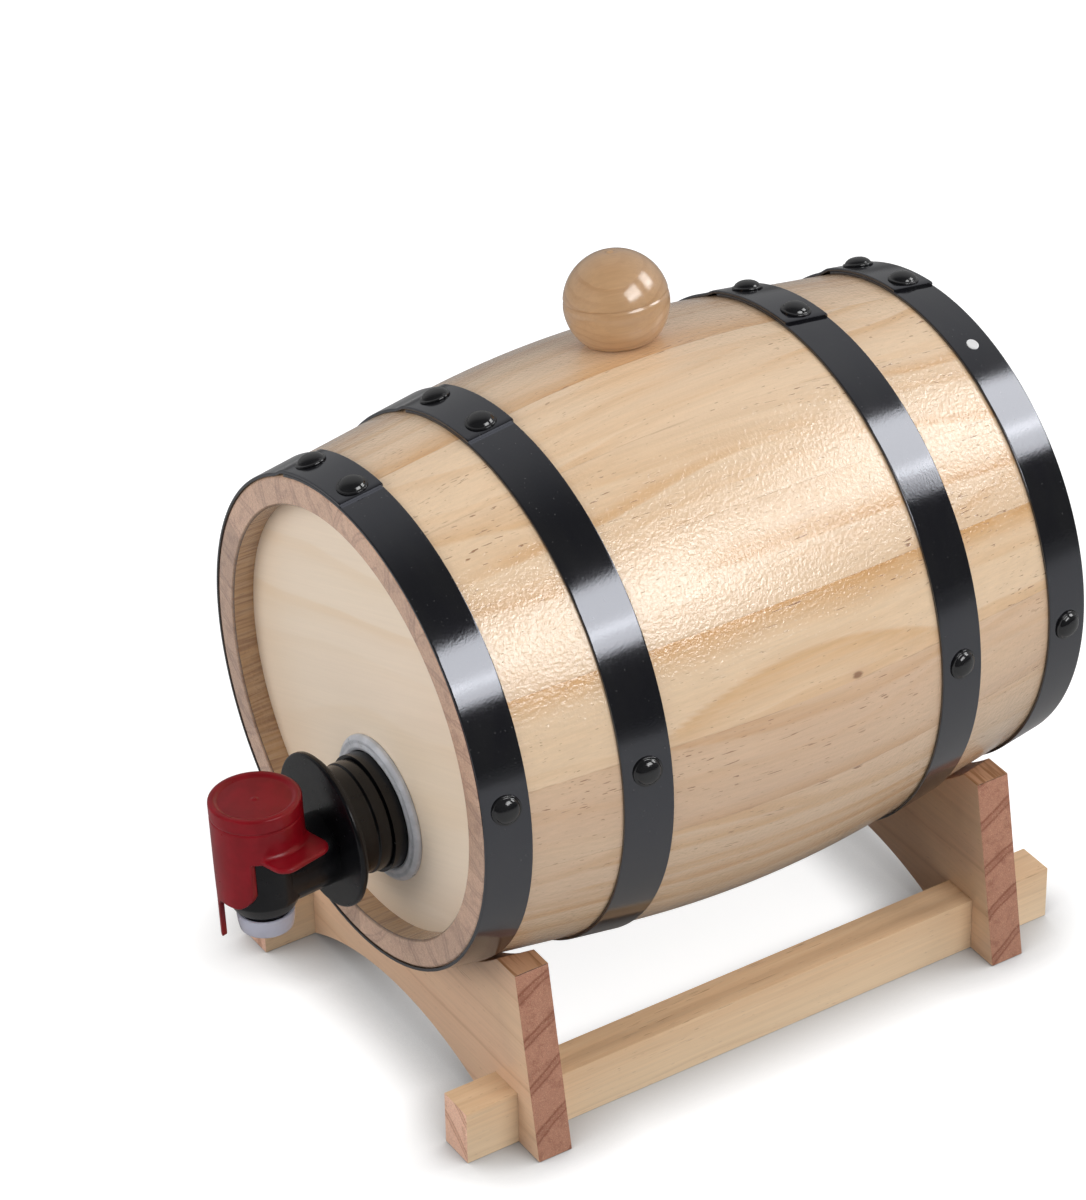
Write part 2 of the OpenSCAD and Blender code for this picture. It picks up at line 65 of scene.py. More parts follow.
class Graph:
    """Adds nodes to one shader or geometry tree and joins their sockets."""

    # Sockets of the Mix node when it mixes colours
    MIX_FACTOR, MIX_FIRST, MIX_SECOND, MIX_RESULT = 0, 6, 7, 2

    def __init__(self, tree: bpy.types.NodeTree) -> None:
        """Keeps the tree that the nodes go into.

        Args:
            tree: the shader or geometry tree.
        """
        self.tree = tree

    def feed(self, socket: bpy.types.NodeSocket, value: Any) -> None:
        """Links a socket or node to an input, or sets the input's own value.

        Args:
            socket: the input.
            value: a socket, a node (its first output is used) or a plain value.
        """
        if isinstance(value, bpy.types.NodeSocket):
            self.tree.links.new(value, socket)
        elif isinstance(value, bpy.types.Node):
            self.tree.links.new(value.outputs[0], socket)
        else:
            socket.default_value = value

    def add(self, kind: str, inputs: Optional[dict] = None, **settings: Any) -> bpy.types.Node:
        """Adds a node.

        Args:
            kind: the node's type name.
            inputs: input name or index, with what feeds it.
            settings: the node's own properties.

        Returns:
            The new node.
        """
        node = self.tree.nodes.new(kind)
        for name, value in settings.items():
            setattr(node, name, value)
        for key, value in (inputs or {}).items():
            self.feed(node.inputs[key], value)
        return node

    def math(self, operation: str, *values: Any) -> bpy.types.NodeSocket:
        """Adds a Math node and returns its result."""
        return self.add("ShaderNodeMath", dict(enumerate(values)), operation=operation).outputs[0]

    def vector(self, operation: str, *values: Any) -> bpy.types.NodeSocket:
        """Adds a Vector Math node and returns its result."""
        node = self.add("ShaderNodeVectorMath", dict(enumerate(values)), operation=operation)
        return node.outputs["Value" if operation in ("LENGTH", "DOT_PRODUCT") else "Vector"]

    def split(self, vector: Any) -> bpy.types.bpy_prop_collection:
        """Returns the three parts of a vector."""
        return self.add("ShaderNodeSeparateXYZ", {0: vector}).outputs

    def join(self, x: Any, y: Any, z: Any) -> bpy.types.NodeSocket:
        """Returns a vector made of three parts."""
        return self.add("ShaderNodeCombineXYZ", {0: x, 1: y, 2: z}).outputs[0]

    def remap(
        self, value: Any, low: float, high: float, to_low: float = 0.0, to_high: float = 1.0,
    ) -> bpy.types.NodeSocket:
        """Stretches a range of values to another one, smoothly, and clamps it.

        Args:
            value: what is stretched.
            low: the value that becomes to_low.
            high: the value that becomes to_high.
            to_low: the result at low.
            to_high: the result at high.

        Returns:
            The stretched value.
        """
        inputs = {0: value, 1: low, 2: high, 3: to_low, 4: to_high}
        return self.add("ShaderNodeMapRange", inputs, interpolation_type="SMOOTHSTEP").outputs[0]

    def noise(
        self, vector: Any, stretch: Sequence[float], detail: float = 2.0, roughness: float = 0.5,
    ) -> bpy.types.NodeSocket:
        """Adds smooth noise.

        Args:
            vector: where it is read.
            stretch: cells of noise in a unit along each axis.
            detail: how many finer layers it has.
            roughness: how strong the finer layers are.

        Returns:
            The noise, about 0 to 1 round 0.5.
        """
        place = self.vector("MULTIPLY", vector, tuple(stretch))
        inputs = {"Vector": place, "Scale": 1.0, "Detail": detail, "Roughness": roughness}
        return self.add("ShaderNodeTexNoise", inputs).outputs[0]

    def mix(self, factor: Any, first: Any, second: Any, blend: str = "MIX") -> bpy.types.NodeSocket:
        """Mixes two colours.

        Args:
            factor: the share of the second one.
            first: colour or socket.
            second: colour or socket.
            blend: how they are mixed.

        Returns:
            The mixed colour.
        """
        node = self.add("ShaderNodeMix", data_type="RGBA", blend_type=blend, clamp_factor=True)
        for index, value in ((self.MIX_FACTOR, factor), (self.MIX_FIRST, first), (self.MIX_SECOND, second)):
            if isinstance(value, tuple) and len(value) == 3:
                value = (*value, 1.0)
            self.feed(node.inputs[index], value)
        return node.outputs[self.MIX_RESULT]

    def bump(self, height: Any, depth: float, normal: Any = None) -> bpy.types.NodeSocket:
        """Turns a height into a normal.

        Args:
            height: the height, 0 to 1.
            depth: what a height of 1 is, in metres.
            normal: a normal to add it to.

        Returns:
            The normal.
        """
        inputs = {"Height": height, "Distance": depth, "Strength": 1.0}
        if normal is not None:
            inputs["Normal"] = normal
        return self.add("ShaderNodeBump", inputs).outputs[0]


def new_material(name: str) -> tuple[bpy.types.Material, Graph, bpy.types.Node]:
    """Makes an empty material.

    Args:
        name: its name.

    Returns:
        The material, the graph of its tree and its Principled shader.
    """
    material = bpy.data.materials.new(name)
    material.use_nodes = True
    tree = material.node_tree
    tree.nodes.clear()
    graph = Graph(tree)
    shader = graph.add("ShaderNodeBsdfPrincipled")
    output = graph.add("ShaderNodeOutputMaterial")
    tree.links.new(shader.outputs[0], output.inputs["Surface"])
    return material, graph, shader


def grey(value: float) -> Colour:
    """Returns a neutral colour."""
    return (value, value, value)


# ---------------------------------------------------------------- finishes


@dataclass(frozen=True)
class PineFinish:
    """Varnished pine whose growth rings are cut through by the piece's surface.

    The pattern reads attributes of the mesh: grain, the place in the board in millimetres with Y along it; end, which
    is 1 where the surface cuts across the board; tone and blush, the board's own tint and pinkness, where tone also
    darkens the stave's inner faces and the boards' tips as painted shade; the attribute of broken dark, how strong the
    dark is that stands beside a joint, and on the inner faces and the boards' tips painted shade as well; streak, a
    band of late wood that the piece brings along; and spot, a place that the small knot is measured from.

    Attributes:
        name: the material's name.
        pale: colour of the wood of spring.
        warm: colour of the late wood.
        pink: colour of the pinkish zones.
        end_pale: colour of the end grain.
        end_dark: colour of its late wood, pits and mottling.
        fleck: colour of the resin lines, the dark beside joints and the knot.
        ring: width of a year, in millimetres.
        ring_share: how strong the late wood is.
        ring_line: how strong the line at the end of a year is.
        sway: how far the rings wander, in millimetres.
        fleck_share: how strong the resin lines are.
        fleck_crowd: level of noise above which they stand, so that more means fewer.
        end_share: how strong the rings are in the end grain.
        saw: how strong the marks of the saw are.
        fibre: how strong the fine fibres are.
        roughness: roughness of the wood under the varnish.
        coat: weight of the varnish.
        gloss: its roughness.
        coat_ior: its refractive index.
        peel: depth of the waves on it, in metres.
        pore: depth of the fibres and pores under it, in metres.
        knot: where the small knot is, by the attribute spot.
    """

    # How dark the wood is at shares of a year
    RING_STOPS = ((0.30, 0.04), (0.62, 0.32), (0.84, 0.95), (0.92, 0.90))
    # How far small ripples move the rings, in millimetres
    RIPPLE = 3.5
    # How much the tone, a tint or painted shade, changes the wood, and how much more where it is cut across
    TONE_DEPTH, TONE_END = 0.10, 0.25
    # Weights of the distances from the knot, across and along the stave; a small one makes it longer that way
    KNOT_SHAPE = (1.0, 0.62, 0.0)
    # Waves on the varnish: cells in a metre, and the share of their depth that the wood under it has
    PEEL_CELLS, PEEL_SHARE = 820.0, 0.10
    # Depth of the pits in end grain, in metres
    PIT_DEPTH = 0.00014

    name: str
    pale: Colour = (0.80, 0.590, 0.390)
    warm: Colour = (0.64, 0.350, 0.135)
    pink: Colour = (0.66, 0.415, 0.265)
    end_pale: Colour = (0.58, 0.365, 0.255)
    end_dark: Colour = (0.27, 0.150, 0.115)
    fleck: Colour = (0.25, 0.110, 0.045)
    ring: float = 11.0
    ring_share: float = 0.80
    ring_line: float = 0.0
    sway: float = 30.0
    fleck_share: float = 0.80
    fleck_crowd: float = 0.50
    end_share: float = 0.60
    saw: float = 0.25
    fibre: float = 1.0
    roughness: float = 0.5
    coat: float = 1.0
    gloss: float = 0.05
    coat_ior: float = 2.0
    peel: float = 0.00036
    pore: float = 0.00005
    knot: Triple = (141.5, 17.0, 0.0)

    def rings(self, g: Graph, grain: Any) -> tuple[bpy.types.NodeSocket, bpy.types.NodeSocket, bpy.types.NodeSocket]:
        """Adds the growth rings.

        Args:
            g: the material's graph.
            grain: the place in the board.

        Returns:
            The part of the year in which the wood grew, how dark that makes it, and a random number for each year.
        """
        across, _, deep = g.split(grain)
        sway = g.math("MULTIPLY", g.math("SUBTRACT", g.noise(grain, (0.016, 0.0075, 0.016), 1.0), 0.5), self.sway)
        ripple = g.math("MULTIPLY", g.math("SUBTRACT", g.noise(grain, (0.08, 0.02, 0.08), 2.0), 0.5), self.RIPPLE)
        heart = g.vector("LENGTH", g.join(across, 0.0, deep))
        rings = g.math("DIVIDE", g.math("ADD", g.math("ADD", heart, sway), ripple), self.ring)
        part = g.math("FRACT", rings)
        ramp = g.add("ShaderNodeValToRGB", {0: part})
        ramp.color_ramp.interpolation = "EASE"
        stops = ramp.color_ramp.elements
        stops[0].color = (0, 0, 0, 1)
        stops[1].position, stops[1].color = 1.0, (0, 0, 0, 1)
        for spot, value in self.RING_STOPS:
            stops.new(spot).color = (value, value, value, 1)
        year = g.add("ShaderNodeTexWhiteNoise", {"W": g.math("FLOOR", rings)}, noise_dimensions="1D").outputs[0]
        return part, ramp.outputs[0], year

    def marks(self, g: Graph, grain: Any) -> bpy.types.NodeSocket:
        """Adds short dark resin lines that stand in rows along the grain."""
        low = self.fleck_crowd
        line = g.remap(g.noise(grain, (2.3, 0.15, 2.3), 0.0), 0.67, 0.75)
        row = g.remap(g.noise(g.vector("ADD", grain, (70.0, 0.0, 9.0)), (0.62, 0.014, 0.62), 1.0), 0.53, 0.60)
        crowd = g.remap(g.noise(g.vector("ADD", grain, (0.0, 400.0, 0.0)), (0.045, 0.011, 0.045), 1.0), low, low + 0.12)
        tick = g.remap(g.noise(g.vector("ADD", grain, (33.0, 7.0, 5.0)), (2.4, 0.34, 2.4), 0.0), 0.78, 0.83)
        resin = g.math("MULTIPLY", g.math("MULTIPLY", line, row), crowd)
        return g.math("MAXIMUM", resin, g.math("MULTIPLY", tick, 0.6))

    def material(self) -> bpy.types.Material:
        """Builds the material.

        Returns:
            The material.
        """
        material, g, shader = new_material(self.name)

        def value(name: str, output: str = "Fac") -> bpy.types.NodeSocket:
            """Reads an attribute of the mesh."""
            return g.add("ShaderNodeAttribute", attribute_name=name).outputs[output]

        grain, end, tone, blush = value("grain", "Vector"), value("end"), value("tone"), value("blush")
        part, ring, year = self.rings(g, grain)
        patch = g.remap(g.noise(grain, (0.030, 0.010, 0.030), 2.0), 0.34, 0.64, 0.25, 1.0)
        strong = g.math("MULTIPLY_ADD", g.math("MULTIPLY", year, year), 0.8, 0.2)
        late = g.math("MULTIPLY", g.math("MULTIPLY", ring, strong), g.math("MULTIPLY", patch, self.ring_share))
        streak = value("streak")
        ragged = g.noise(grain, (0.5, 0.03, 0.5), 3.0, 0.6)
        late = g.math("MAXIMUM", late, g.math("MULTIPLY", streak, g.remap(ragged, 0.30, 0.62, 0.72, 1.05)))

        # Long grain: pale wood with warm bands, pinkish zones and fine fibres
        colour = g.mix(late, self.pale, self.warm)
        zone = g.remap(g.noise(grain, (0.030, 0.007, 0.030), 2.0), 0.35, 0.66, 0.35, 1.0)
        colour = g.mix(g.math("MULTIPLY", zone, blush), colour, self.pink)
        fibre = g.noise(grain, (0.9, 0.016, 0.9), 3.0, 0.6)
        thread = g.noise(grain, (3.4, 0.06, 3.4), 2.0, 0.6)
        f = self.fibre
        coarse = g.remap(fibre, 0.3, 0.7, 1 - 0.045 * f, 1 + 0.035 * f)
        shade = g.math("ADD", coarse, g.remap(thread, 0.3, 0.7, -0.018 * f, 0.018 * f))
        if self.ring_line:
            line = g.math("MULTIPLY", g.remap(ring, 0.88, 0.98), g.math("MULTIPLY_ADD", year, 0.6, 0.4))
            colour = g.mix(g.math("MULTIPLY", line, self.ring_line), colour, self.fleck)
        marks = self.marks(g, grain)
        colour = g.mix(g.math("MULTIPLY", marks, self.fleck_share), colour, self.fleck)

        # End grain: browner, with the same rings seen end on and the marks of the saw
        saw = g.noise(grain, (0.35, 0.35, 5.0), 2.0)
        pitted = g.noise(grain, (2.6, 2.6, 2.6), 3.0, 0.65)
        mottle = g.noise(grain, (0.20, 0.20, 0.20), 3.0, 0.6)
        worn = g.math("MULTIPLY_ADD", g.math("SUBTRACT", pitted, 0.5), 0.025, part)
        rim = g.math("MAXIMUM", g.remap(g.math("ABSOLUTE", g.math("SUBTRACT", worn, 0.76)), 0.045, 0.0),
                     g.remap(g.math("ABSOLUTE", g.math("SUBTRACT", worn, 0.93)), 0.055, 0.0))
        band = g.math("MULTIPLY", g.remap(worn, 0.66, 0.78), g.remap(worn, 1.0, 0.93))
        end_late = g.math("MULTIPLY", g.math("MULTIPLY_ADD", rim, 0.55, g.math("MULTIPLY", band, 0.35)), self.end_share)
        end_colour = g.mix(end_late, self.end_pale, self.end_dark)
        end_colour = g.mix(g.remap(mottle, 0.50, 0.68, 0.0, 0.40), end_colour, self.end_dark)
        end_colour = g.mix(g.remap(pitted, 0.48, 0.70, 0.0, 0.45), end_colour, self.end_dark)
        end_colour = g.mix(g.remap(pitted, 0.44, 0.30, 0.0, 0.5), end_colour, self.pale)
        end_colour = g.mix(g.remap(saw, 0.5, 0.75, 0.0, self.saw), end_colour, self.pale)
        colour = g.mix(end, colour, end_colour)

        # The tone is each board's own tint, and on the stave's inner faces and the boards' tips a darker painted shade
        depth = g.math("MULTIPLY_ADD", end, self.TONE_END, self.TONE_DEPTH)
        shade = g.math("MULTIPLY", shade, g.math("MULTIPLY_ADD", tone, depth, 1.0))
        colour = g.mix(1.0, colour, g.join(shade, shade, shade), "MULTIPLY")
        # Broken dark beside the joints, and painted shade where the inner faces and the boards' tips carry it
        broken = g.remap(g.noise(grain, (0.9, 0.05, 0.9), 2.0), 0.42, 0.66, 0.0, 0.30)
        colour = g.mix(g.math("MULTIPLY", value("seam"), broken), colour, self.fleck)

        # One small knot, longer along the stave than across it, on the side that the photograph shows
        away = g.vector("MULTIPLY", g.vector("SUBTRACT", value("spot", "Vector"), self.knot), self.KNOT_SHAPE)
        away = g.math("ADD", g.vector("LENGTH", away), g.math("MULTIPLY", thread, 0.8))
        colour = g.mix(g.remap(away, 4.6, 1.2, 0.0, 0.35), colour, self.pink)
        colour = g.mix(g.remap(away, 1.9, 1.0, 0.0, 0.85), colour, self.fleck)
        g.feed(shader.inputs["Base Color"], colour)

        rough = g.math("MULTIPLY_ADD", g.noise(grain, (0.5, 0.2, 0.5), 3.0), 0.14, self.roughness - 0.07)
        g.feed(shader.inputs["Roughness"], g.math("MULTIPLY_ADD", end, 0.15, rough))
        place = g.add("ShaderNodeTexCoord").outputs["Object"]
        peel = g.noise(place, (self.PEEL_CELLS,) * 3, 3.0, 0.55)
        pores = g.math("SUBTRACT", g.math("MULTIPLY", thread, 0.25), marks)
        rugged = g.bump(g.math("MULTIPLY", pitted, end), self.PIT_DEPTH, g.bump(pores, self.pore))
        g.feed(shader.inputs["Normal"], g.bump(peel, self.peel * self.PEEL_SHARE, rugged))
        g.feed(shader.inputs["Coat Normal"], g.bump(peel, self.peel, rugged))
        shader.inputs["Coat Weight"].default_value = self.coat
        shader.inputs["Coat Roughness"].default_value = self.gloss
        shader.inputs["Coat IOR"].default_value = self.coat_ior
        shader.inputs["Specular IOR Level"].default_value = 0.3
        return material


@dataclass(frozen=True)
class BlackSteelFinish:
    """Thin steel strip under glossy black paint, with fine brushed lines along it."""

    name: str = "black_hoop_steel"
    colour: Colour = (0.0075, 0.0075, 0.0095)
    roughness: float = 0.08
    ior: float = 2.0
    tint: Colour = (0.90, 0.92, 1.0)

    def material(self) -> bpy.types.Material:
        """Builds the material; its attribute grain has X along the strip and Y across it.

        Returns:
            The material.
        """
        material, g, shader = new_material(self.name)
        run = g.add("ShaderNodeAttribute", attribute_name="grain").outputs["Vector"]
        cloud = g.noise(run, (0.05, 0.12, 0.05), 3.0)
        brush = g.noise(run, (0.25, 5.0, 0.25), 2.0, 0.6)
        speck = g.remap(g.noise(run, (1.3, 1.3, 1.3), 0.0), 0.80, 0.85)
        colour = g.mix(g.remap(cloud, 0.35, 0.7, 0.0, 0.5), self.colour, grey(0.013))
        g.feed(shader.inputs["Base Color"], g.mix(speck, colour, grey(0.05)))
        rough = g.math("MULTIPLY_ADD", cloud, 0.06, self.roughness - 0.03)
        g.feed(shader.inputs["Roughness"], g.math("MULTIPLY_ADD", brush, 0.05, rough))
        grit = g.noise(run, (1.5, 1.5, 1.5), 3.0, 0.62)
        normal = g.bump(grit, 0.000016)
        g.feed(shader.inputs["Normal"], g.bump(brush, 0.000006, normal))
        shader.inputs["IOR"].default_value = self.ior
        shader.inputs["Specular Tint"].default_value = (*self.tint, 1.0)
        return material


@dataclass(frozen=True)
class MouldedFinish:
    """Moulded plastic, rubber or plain metal: one colour that clouds a little, with a fine texture.

    Attributes:
        name: the material's name.
        colour: its colour.
        cloud: the colour of its clouds.
        roughness: its middle roughness.
        spread: how much that varies.
        texture: depth of the fine texture, in metres.
        cells: cells of the texture in a metre.
        ior: its refractive index.
        transmission: how clear it is.
        subsurface: how far light gets into it.
        metallic: 1 for bare metal.
        stretch: how much smaller its clouds are along each axis.
    """

    name: str
    colour: Colour
    cloud: Colour
    roughness: float = 0.35
    spread: float = 0.10
    texture: float = 0.00001
    cells: float = 900.0
    ior: float = 1.5
    transmission: float = 0.0
    subsurface: float = 0.0
    metallic: float = 0.0
    stretch: Triple = (1.0, 1.0, 1.0)

    def material(self) -> bpy.types.Material:
        """Builds the material.

        Returns:
            The material.
        """
        material, g, shader = new_material(self.name)
        place = g.add("ShaderNodeTexCoord").outputs["Object"]
        scale = tuple(150.0 * s for s in self.stretch)
        cloud = g.noise(place, scale, 3.0, 0.55)
        g.feed(shader.inputs["Base Color"], g.mix(g.remap(cloud, 0.35, 0.68), self.colour, self.cloud))
        smear = g.noise(place, (380.0, 380.0, 380.0), 2.0)
        g.feed(shader.inputs["Roughness"], g.math("MULTIPLY_ADD", smear, self.spread, self.roughness - self.spread / 2))
        skin = g.noise(place, (self.cells,) * 3, 2.0)
        g.feed(shader.inputs["Normal"], g.bump(skin, self.texture))
        shader.inputs["IOR"].default_value = self.ior
        shader.inputs["Metallic"].default_value = self.metallic
        shader.inputs["Transmission Weight"].default_value = self.transmission
        if self.subsurface:
            shader.inputs["Subsurface Weight"].default_value = self.subsurface
            shader.inputs["Subsurface Radius"].default_value = (1.0, 0.8, 0.8)
            shader.inputs["Subsurface Scale"].default_value = 0.002
        return material


class Finishes:
    """Every finish of the object, built once."""

    def __init__(self) -> None:
        """Builds the materials."""
        # The heads and the stand have a flatter and duller varnish than the staves
        flat = {"coat_ior": 1.5, "peel": 0.00003}
        stand = {"fleck_share": 0.5, "saw": 0.0, "coat": 0.6, "gloss": 0.28, **flat}
        self.stave = PineFinish("stave_pine_varnish").material()
        self.head = PineFinish(
            "head_pine_varnish", pale=(0.84, 0.705, 0.550), warm=(0.76, 0.570, 0.370), pink=(0.76, 0.560, 0.440),
            ring=20.0, sway=44.0, fleck_share=0.0, fibre=0.4, gloss=0.30, pore=0.00001, **flat,
        ).material()
        self.stand = PineFinish(
            "stand_pine_varnish", pale=(0.72, 0.505, 0.320), warm=(0.60, 0.320, 0.150), pink=(0.62, 0.360, 0.250),
            end_pale=(0.47, 0.225, 0.145), end_dark=(0.24, 0.075, 0.040), ring=13.8, ring_share=0.55, ring_line=0.35,
            sway=10.0, fleck_crowd=0.56, end_share=1.0, **stand,
        ).material()
        self.rail = PineFinish(
            "rail_pine_varnish", pale=(0.75, 0.575, 0.385), warm=(0.58, 0.330, 0.160), pink=(0.64, 0.430, 0.280),
            end_pale=(0.60, 0.370, 0.270), end_dark=(0.27, 0.110, 0.060), ring=9.0, ring_share=0.40, ring_line=0.15,
            sway=14.0, fleck_crowd=0.54, end_share=0.8, **stand,
        ).material()
        self.knob = PineFinish(
            "knob_wood_varnish", pale=(0.52, 0.315, 0.160), warm=(0.37, 0.185, 0.075), pink=(0.46, 0.265, 0.145),
            end_pale=(0.5, 0.33, 0.2), end_dark=(0.36, 0.21, 0.12), ring=3.0, ring_share=0.95, sway=12.0,
            fleck_share=0.15, roughness=0.42, gloss=0.12, coat_ior=1.75, peel=0.00001, pore=0.00002,
        ).material()
        self.cork = MouldedFinish(
            "bung_cork", (0.45, 0.27, 0.13), (0.20, 0.10, 0.05), roughness=0.8, spread=0.2, texture=0.0002, cells=700.0,
        ).material()
        self.hoop = BlackSteelFinish().material()
        self.rivet = MouldedFinish(
            "black_rivet_paint", (0.008, 0.008, 0.009), (0.012, 0.012, 0.013), roughness=0.13, spread=0.06,
            texture=0.000008, cells=500.0, ior=1.7,
        ).material()
        self.nail = MouldedFinish("bright_nail_steel", grey(0.90), grey(0.80), roughness=0.22, metallic=0.25).material()
        self.screw = MouldedFinish(
            "plated_screw_steel", (0.75, 0.60, 0.30), (0.55, 0.42, 0.20), roughness=0.3, metallic=1.0,
        ).material()
        self.black = MouldedFinish(
            "black_tap_plastic", (0.0030, 0.0030, 0.0040), (0.006, 0.006, 0.0075), roughness=0.25, spread=0.12,
            texture=0.00002, cells=420.0, ior=1.41,
        ).material()
        self.red = MouldedFinish(
            "red_collar_plastic", (0.190, 0.0025, 0.007), (0.235, 0.0035, 0.010), roughness=0.30, texture=0.000016,
            cells=500.0, ior=1.42, subsurface=0.1,
        ).material()
        self.seal = MouldedFinish(
            "grey_seal_rubber", (0.48, 0.49, 0.52), (0.59, 0.60, 0.64), roughness=0.30, spread=0.16, texture=0.00005,
            cells=300.0, ior=1.45, subsurface=0.2, stretch=(1.5, 1.5, 1.5),
        ).material()
        self.cap = MouldedFinish(
            "clear_cap_plastic", (0.58, 0.58, 0.68), (0.62, 0.62, 0.72), roughness=0.14, spread=0.06, cells=300.0,
            transmission=0.30, subsurface=0.2,
        ).material()
        self.soft = MouldedFinish(
            "soft_valve_rubber", grey(0.20), grey(0.26), roughness=0.6, texture=0.00002, cells=600.0).material()
        self.white = MouldedFinish(
            "white_stem_plastic", (0.78, 0.78, 0.75), (0.82, 0.82, 0.80), roughness=0.4, cells=600.0).material()
        self.film = MouldedFinish(
            "liner_bag_film", (0.60, 0.63, 0.66), (0.72, 0.75, 0.78), roughness=0.25, spread=0.15, texture=0.0003,
            cells=60.0,
        ).material()


# ---------------------------------------------------------------- mesh helpers


def link(mesh: bpy.types.Mesh, name: str) -> bpy.types.Object:
    """Puts a mesh into the scene as an object at the origin.

    Args:
        mesh: the mesh.
        name: the object's name.

    Returns:
        The object.
    """
    mesh.name = name
    piece = bpy.data.objects.new(name, mesh)
    bpy.context.scene.collection.objects.link(piece)
    return piece


def mesh_from(points: Sequence[Sequence[float]], faces: Sequence[Sequence[int]], name: str) -> bpy.types.Mesh:
    """Makes a mesh and turns its faces outwards.

    Args:
        points: the corners.
        faces: the faces' corner numbers.
        name: the mesh's name.

    Returns:
        The mesh.
    """
    mesh = bpy.data.meshes.new(name)
    mesh.from_pydata([tuple(p) for p in points], [], [tuple(f) for f in faces])
    tidy_mesh(mesh)
    return mesh


def tidy_mesh(mesh: bpy.types.Mesh, merge: float = 1e-6) -> None:
    """Merges doubled corners and turns a mesh's faces outwards.

    Args:
        mesh: the mesh.
        merge: how close corners have to be to be merged.
    """
    work = bmesh.new()
    work.from_mesh(mesh)
    bmesh.ops.remove_doubles(work, verts=work.verts, dist=merge)
    bmesh.ops.recalc_face_normals(work, faces=work.faces)
    work.to_mesh(mesh)
    work.free()


def smooth(mesh: bpy.types.Mesh, angle: float) -> None:
    """Shades a mesh smooth and keeps edges sharper than an angle.

    Args:
        mesh: the mesh.
        angle: the angle, in degrees.
    """
    mesh.polygons.foreach_set("use_smooth", [True] * len(mesh.polygons))
    mesh.set_sharp_from_angle(angle=math.radians(angle))


def lathe(profile: Sequence[Point], name: str, sides: int, closed: bool = True) -> bpy.types.Mesh:
    """Turns a profile of (radius, height) points in millimetres about the Z axis.

    Args:
        profile: the points; those at radius 0 become one corner.
        name: the mesh's name.
        sides: steps round the axis.
        closed: True joins the last point to the first.

    Returns:
        The mesh, in metres.
    """
    points, faces = [], []
    count = len(profile)
    for i in range(sides):
        turn = 2 * math.pi * i / sides
        points += [(r * math.cos(turn) * MM, r * math.sin(turn) * MM, z * MM) for r, z in profile]
    for i in range(sides):
        here, there = i * count, (i + 1) % sides * count
        for j in range(count if closed else count - 1):
            k = (j + 1) % count
            if profile[j][0] == 0 and profile[k][0] == 0:
                continue
            faces.append((here + j, there + j, there + k, here + k))
    mesh = mesh_from(points, faces, name)
    work = bmesh.new()
    work.from_mesh(mesh)
    bmesh.ops.dissolve_degenerate(work, dist=1e-7, edges=work.edges)
    bmesh.ops.recalc_face_normals(work, faces=work.faces)
    work.to_mesh(mesh)
    work.free()
    return mesh


def rounded(profile: Sequence[Triple], steps: int = 5) -> list[Point]:
    """Rounds the corners of a closed profile.

    Args:
        profile: (radius, height, rounding) of each corner, in millimetres.
        steps: points in each rounding.

    Returns:
        The rounded profile's points.
    """
    result: list[Point] = []
    count = len(profile)
    for i, (x, y, size) in enumerate(profile):
        corner = Vector((x, y))
        if size <= 0:
            result.append((x, y))
            continue
        before = Vector(profile[i - 1][:2]) - corner
        after = Vector(profile[(i + 1) % count][:2]) - corner
        half = before.angle(after) / 2
        reach = min(size / math.tan(half), before.length * 0.49, after.length * 0.49)
        start, stop = corner + before.normalized() * reach, corner + after.normalized() * reach
        for k in range(steps + 1):
            t = k / steps
            result.append(tuple((1 - t) ** 2 * start + 2 * t * (1 - t) * corner + t ** 2 * stop))
    return result


def apply_modifiers(piece: bpy.types.Object) -> None:
    """Replaces an object's mesh by what its modifiers make of it, and removes them."""
    graph = bpy.context.evaluated_depsgraph_get()
    mesh = bpy.data.meshes.new_from_object(piece.evaluated_get(graph), preserve_all_data_layers=True, depsgraph=graph)
    piece.modifiers.clear()
    old = piece.data
    piece.data = mesh
    mesh.name = piece.name
    bpy.data.meshes.remove(old)


def combine(piece: bpy.types.Object, other: bpy.types.Mesh, operation: str) -> None:
    """Joins a mesh to a piece or cuts it out of it.

    Args:
        piece: the object that changes.
        other: the mesh that is joined or cut, used up by the call.
        operation: UNION, DIFFERENCE or INTERSECT.
    """
    tool = link(other, "tool")
    modifier = piece.modifiers.new("combine", "BOOLEAN")
    modifier.operation = operation
    modifier.solver = "EXACT"
    modifier.object = tool
    apply_modifiers(piece)
    bpy.data.objects.remove(tool)
    bpy.data.meshes.remove(other)


def place(mesh: bpy.types.Mesh, matrix: Matrix) -> bpy.types.Mesh:
    """Moves a mesh's points and returns the mesh."""
    mesh.transform(matrix)
    return mesh


def box(low: Sequence[float], high: Sequence[float], name: str) -> bpy.types.Mesh:
    """Makes a box from two opposite corners in millimetres."""
    points = [[(low, high)[i >> axis & 1][axis] * MM for axis in range(3)] for i in range(8)]
    faces = [(0, 1, 3, 2), (4, 5, 7, 6), (0, 1, 5, 4), (2, 3, 7, 6), (0, 2, 6, 4), (1, 3, 7, 5)]
    return mesh_from(points, faces, name)


def float_attribute(mesh: bpy.types.Mesh, name: str, values: Sequence[float], domain: str = "POINT") -> None:
    """Stores a number for each point or face of a mesh.

    Args:
        mesh: the mesh.
        name: the attribute's name.
        values: the numbers.
        domain: POINT or FACE.
    """
    old = mesh.attributes.get(name)
    if old:
        mesh.attributes.remove(old)
    mesh.attributes.new(name, "FLOAT", domain).data.foreach_set("value", list(values))


def vector_attribute(mesh: bpy.types.Mesh, name: str, values: Sequence[Sequence[float]]) -> None:
    """Stores a vector for each point of a mesh."""
    old = mesh.attributes.get(name)
    if old:
        mesh.attributes.remove(old)
    flat = [c for v in values for c in v]
    mesh.attributes.new(name, "FLOAT_VECTOR", "POINT").data.foreach_set("vector", flat)


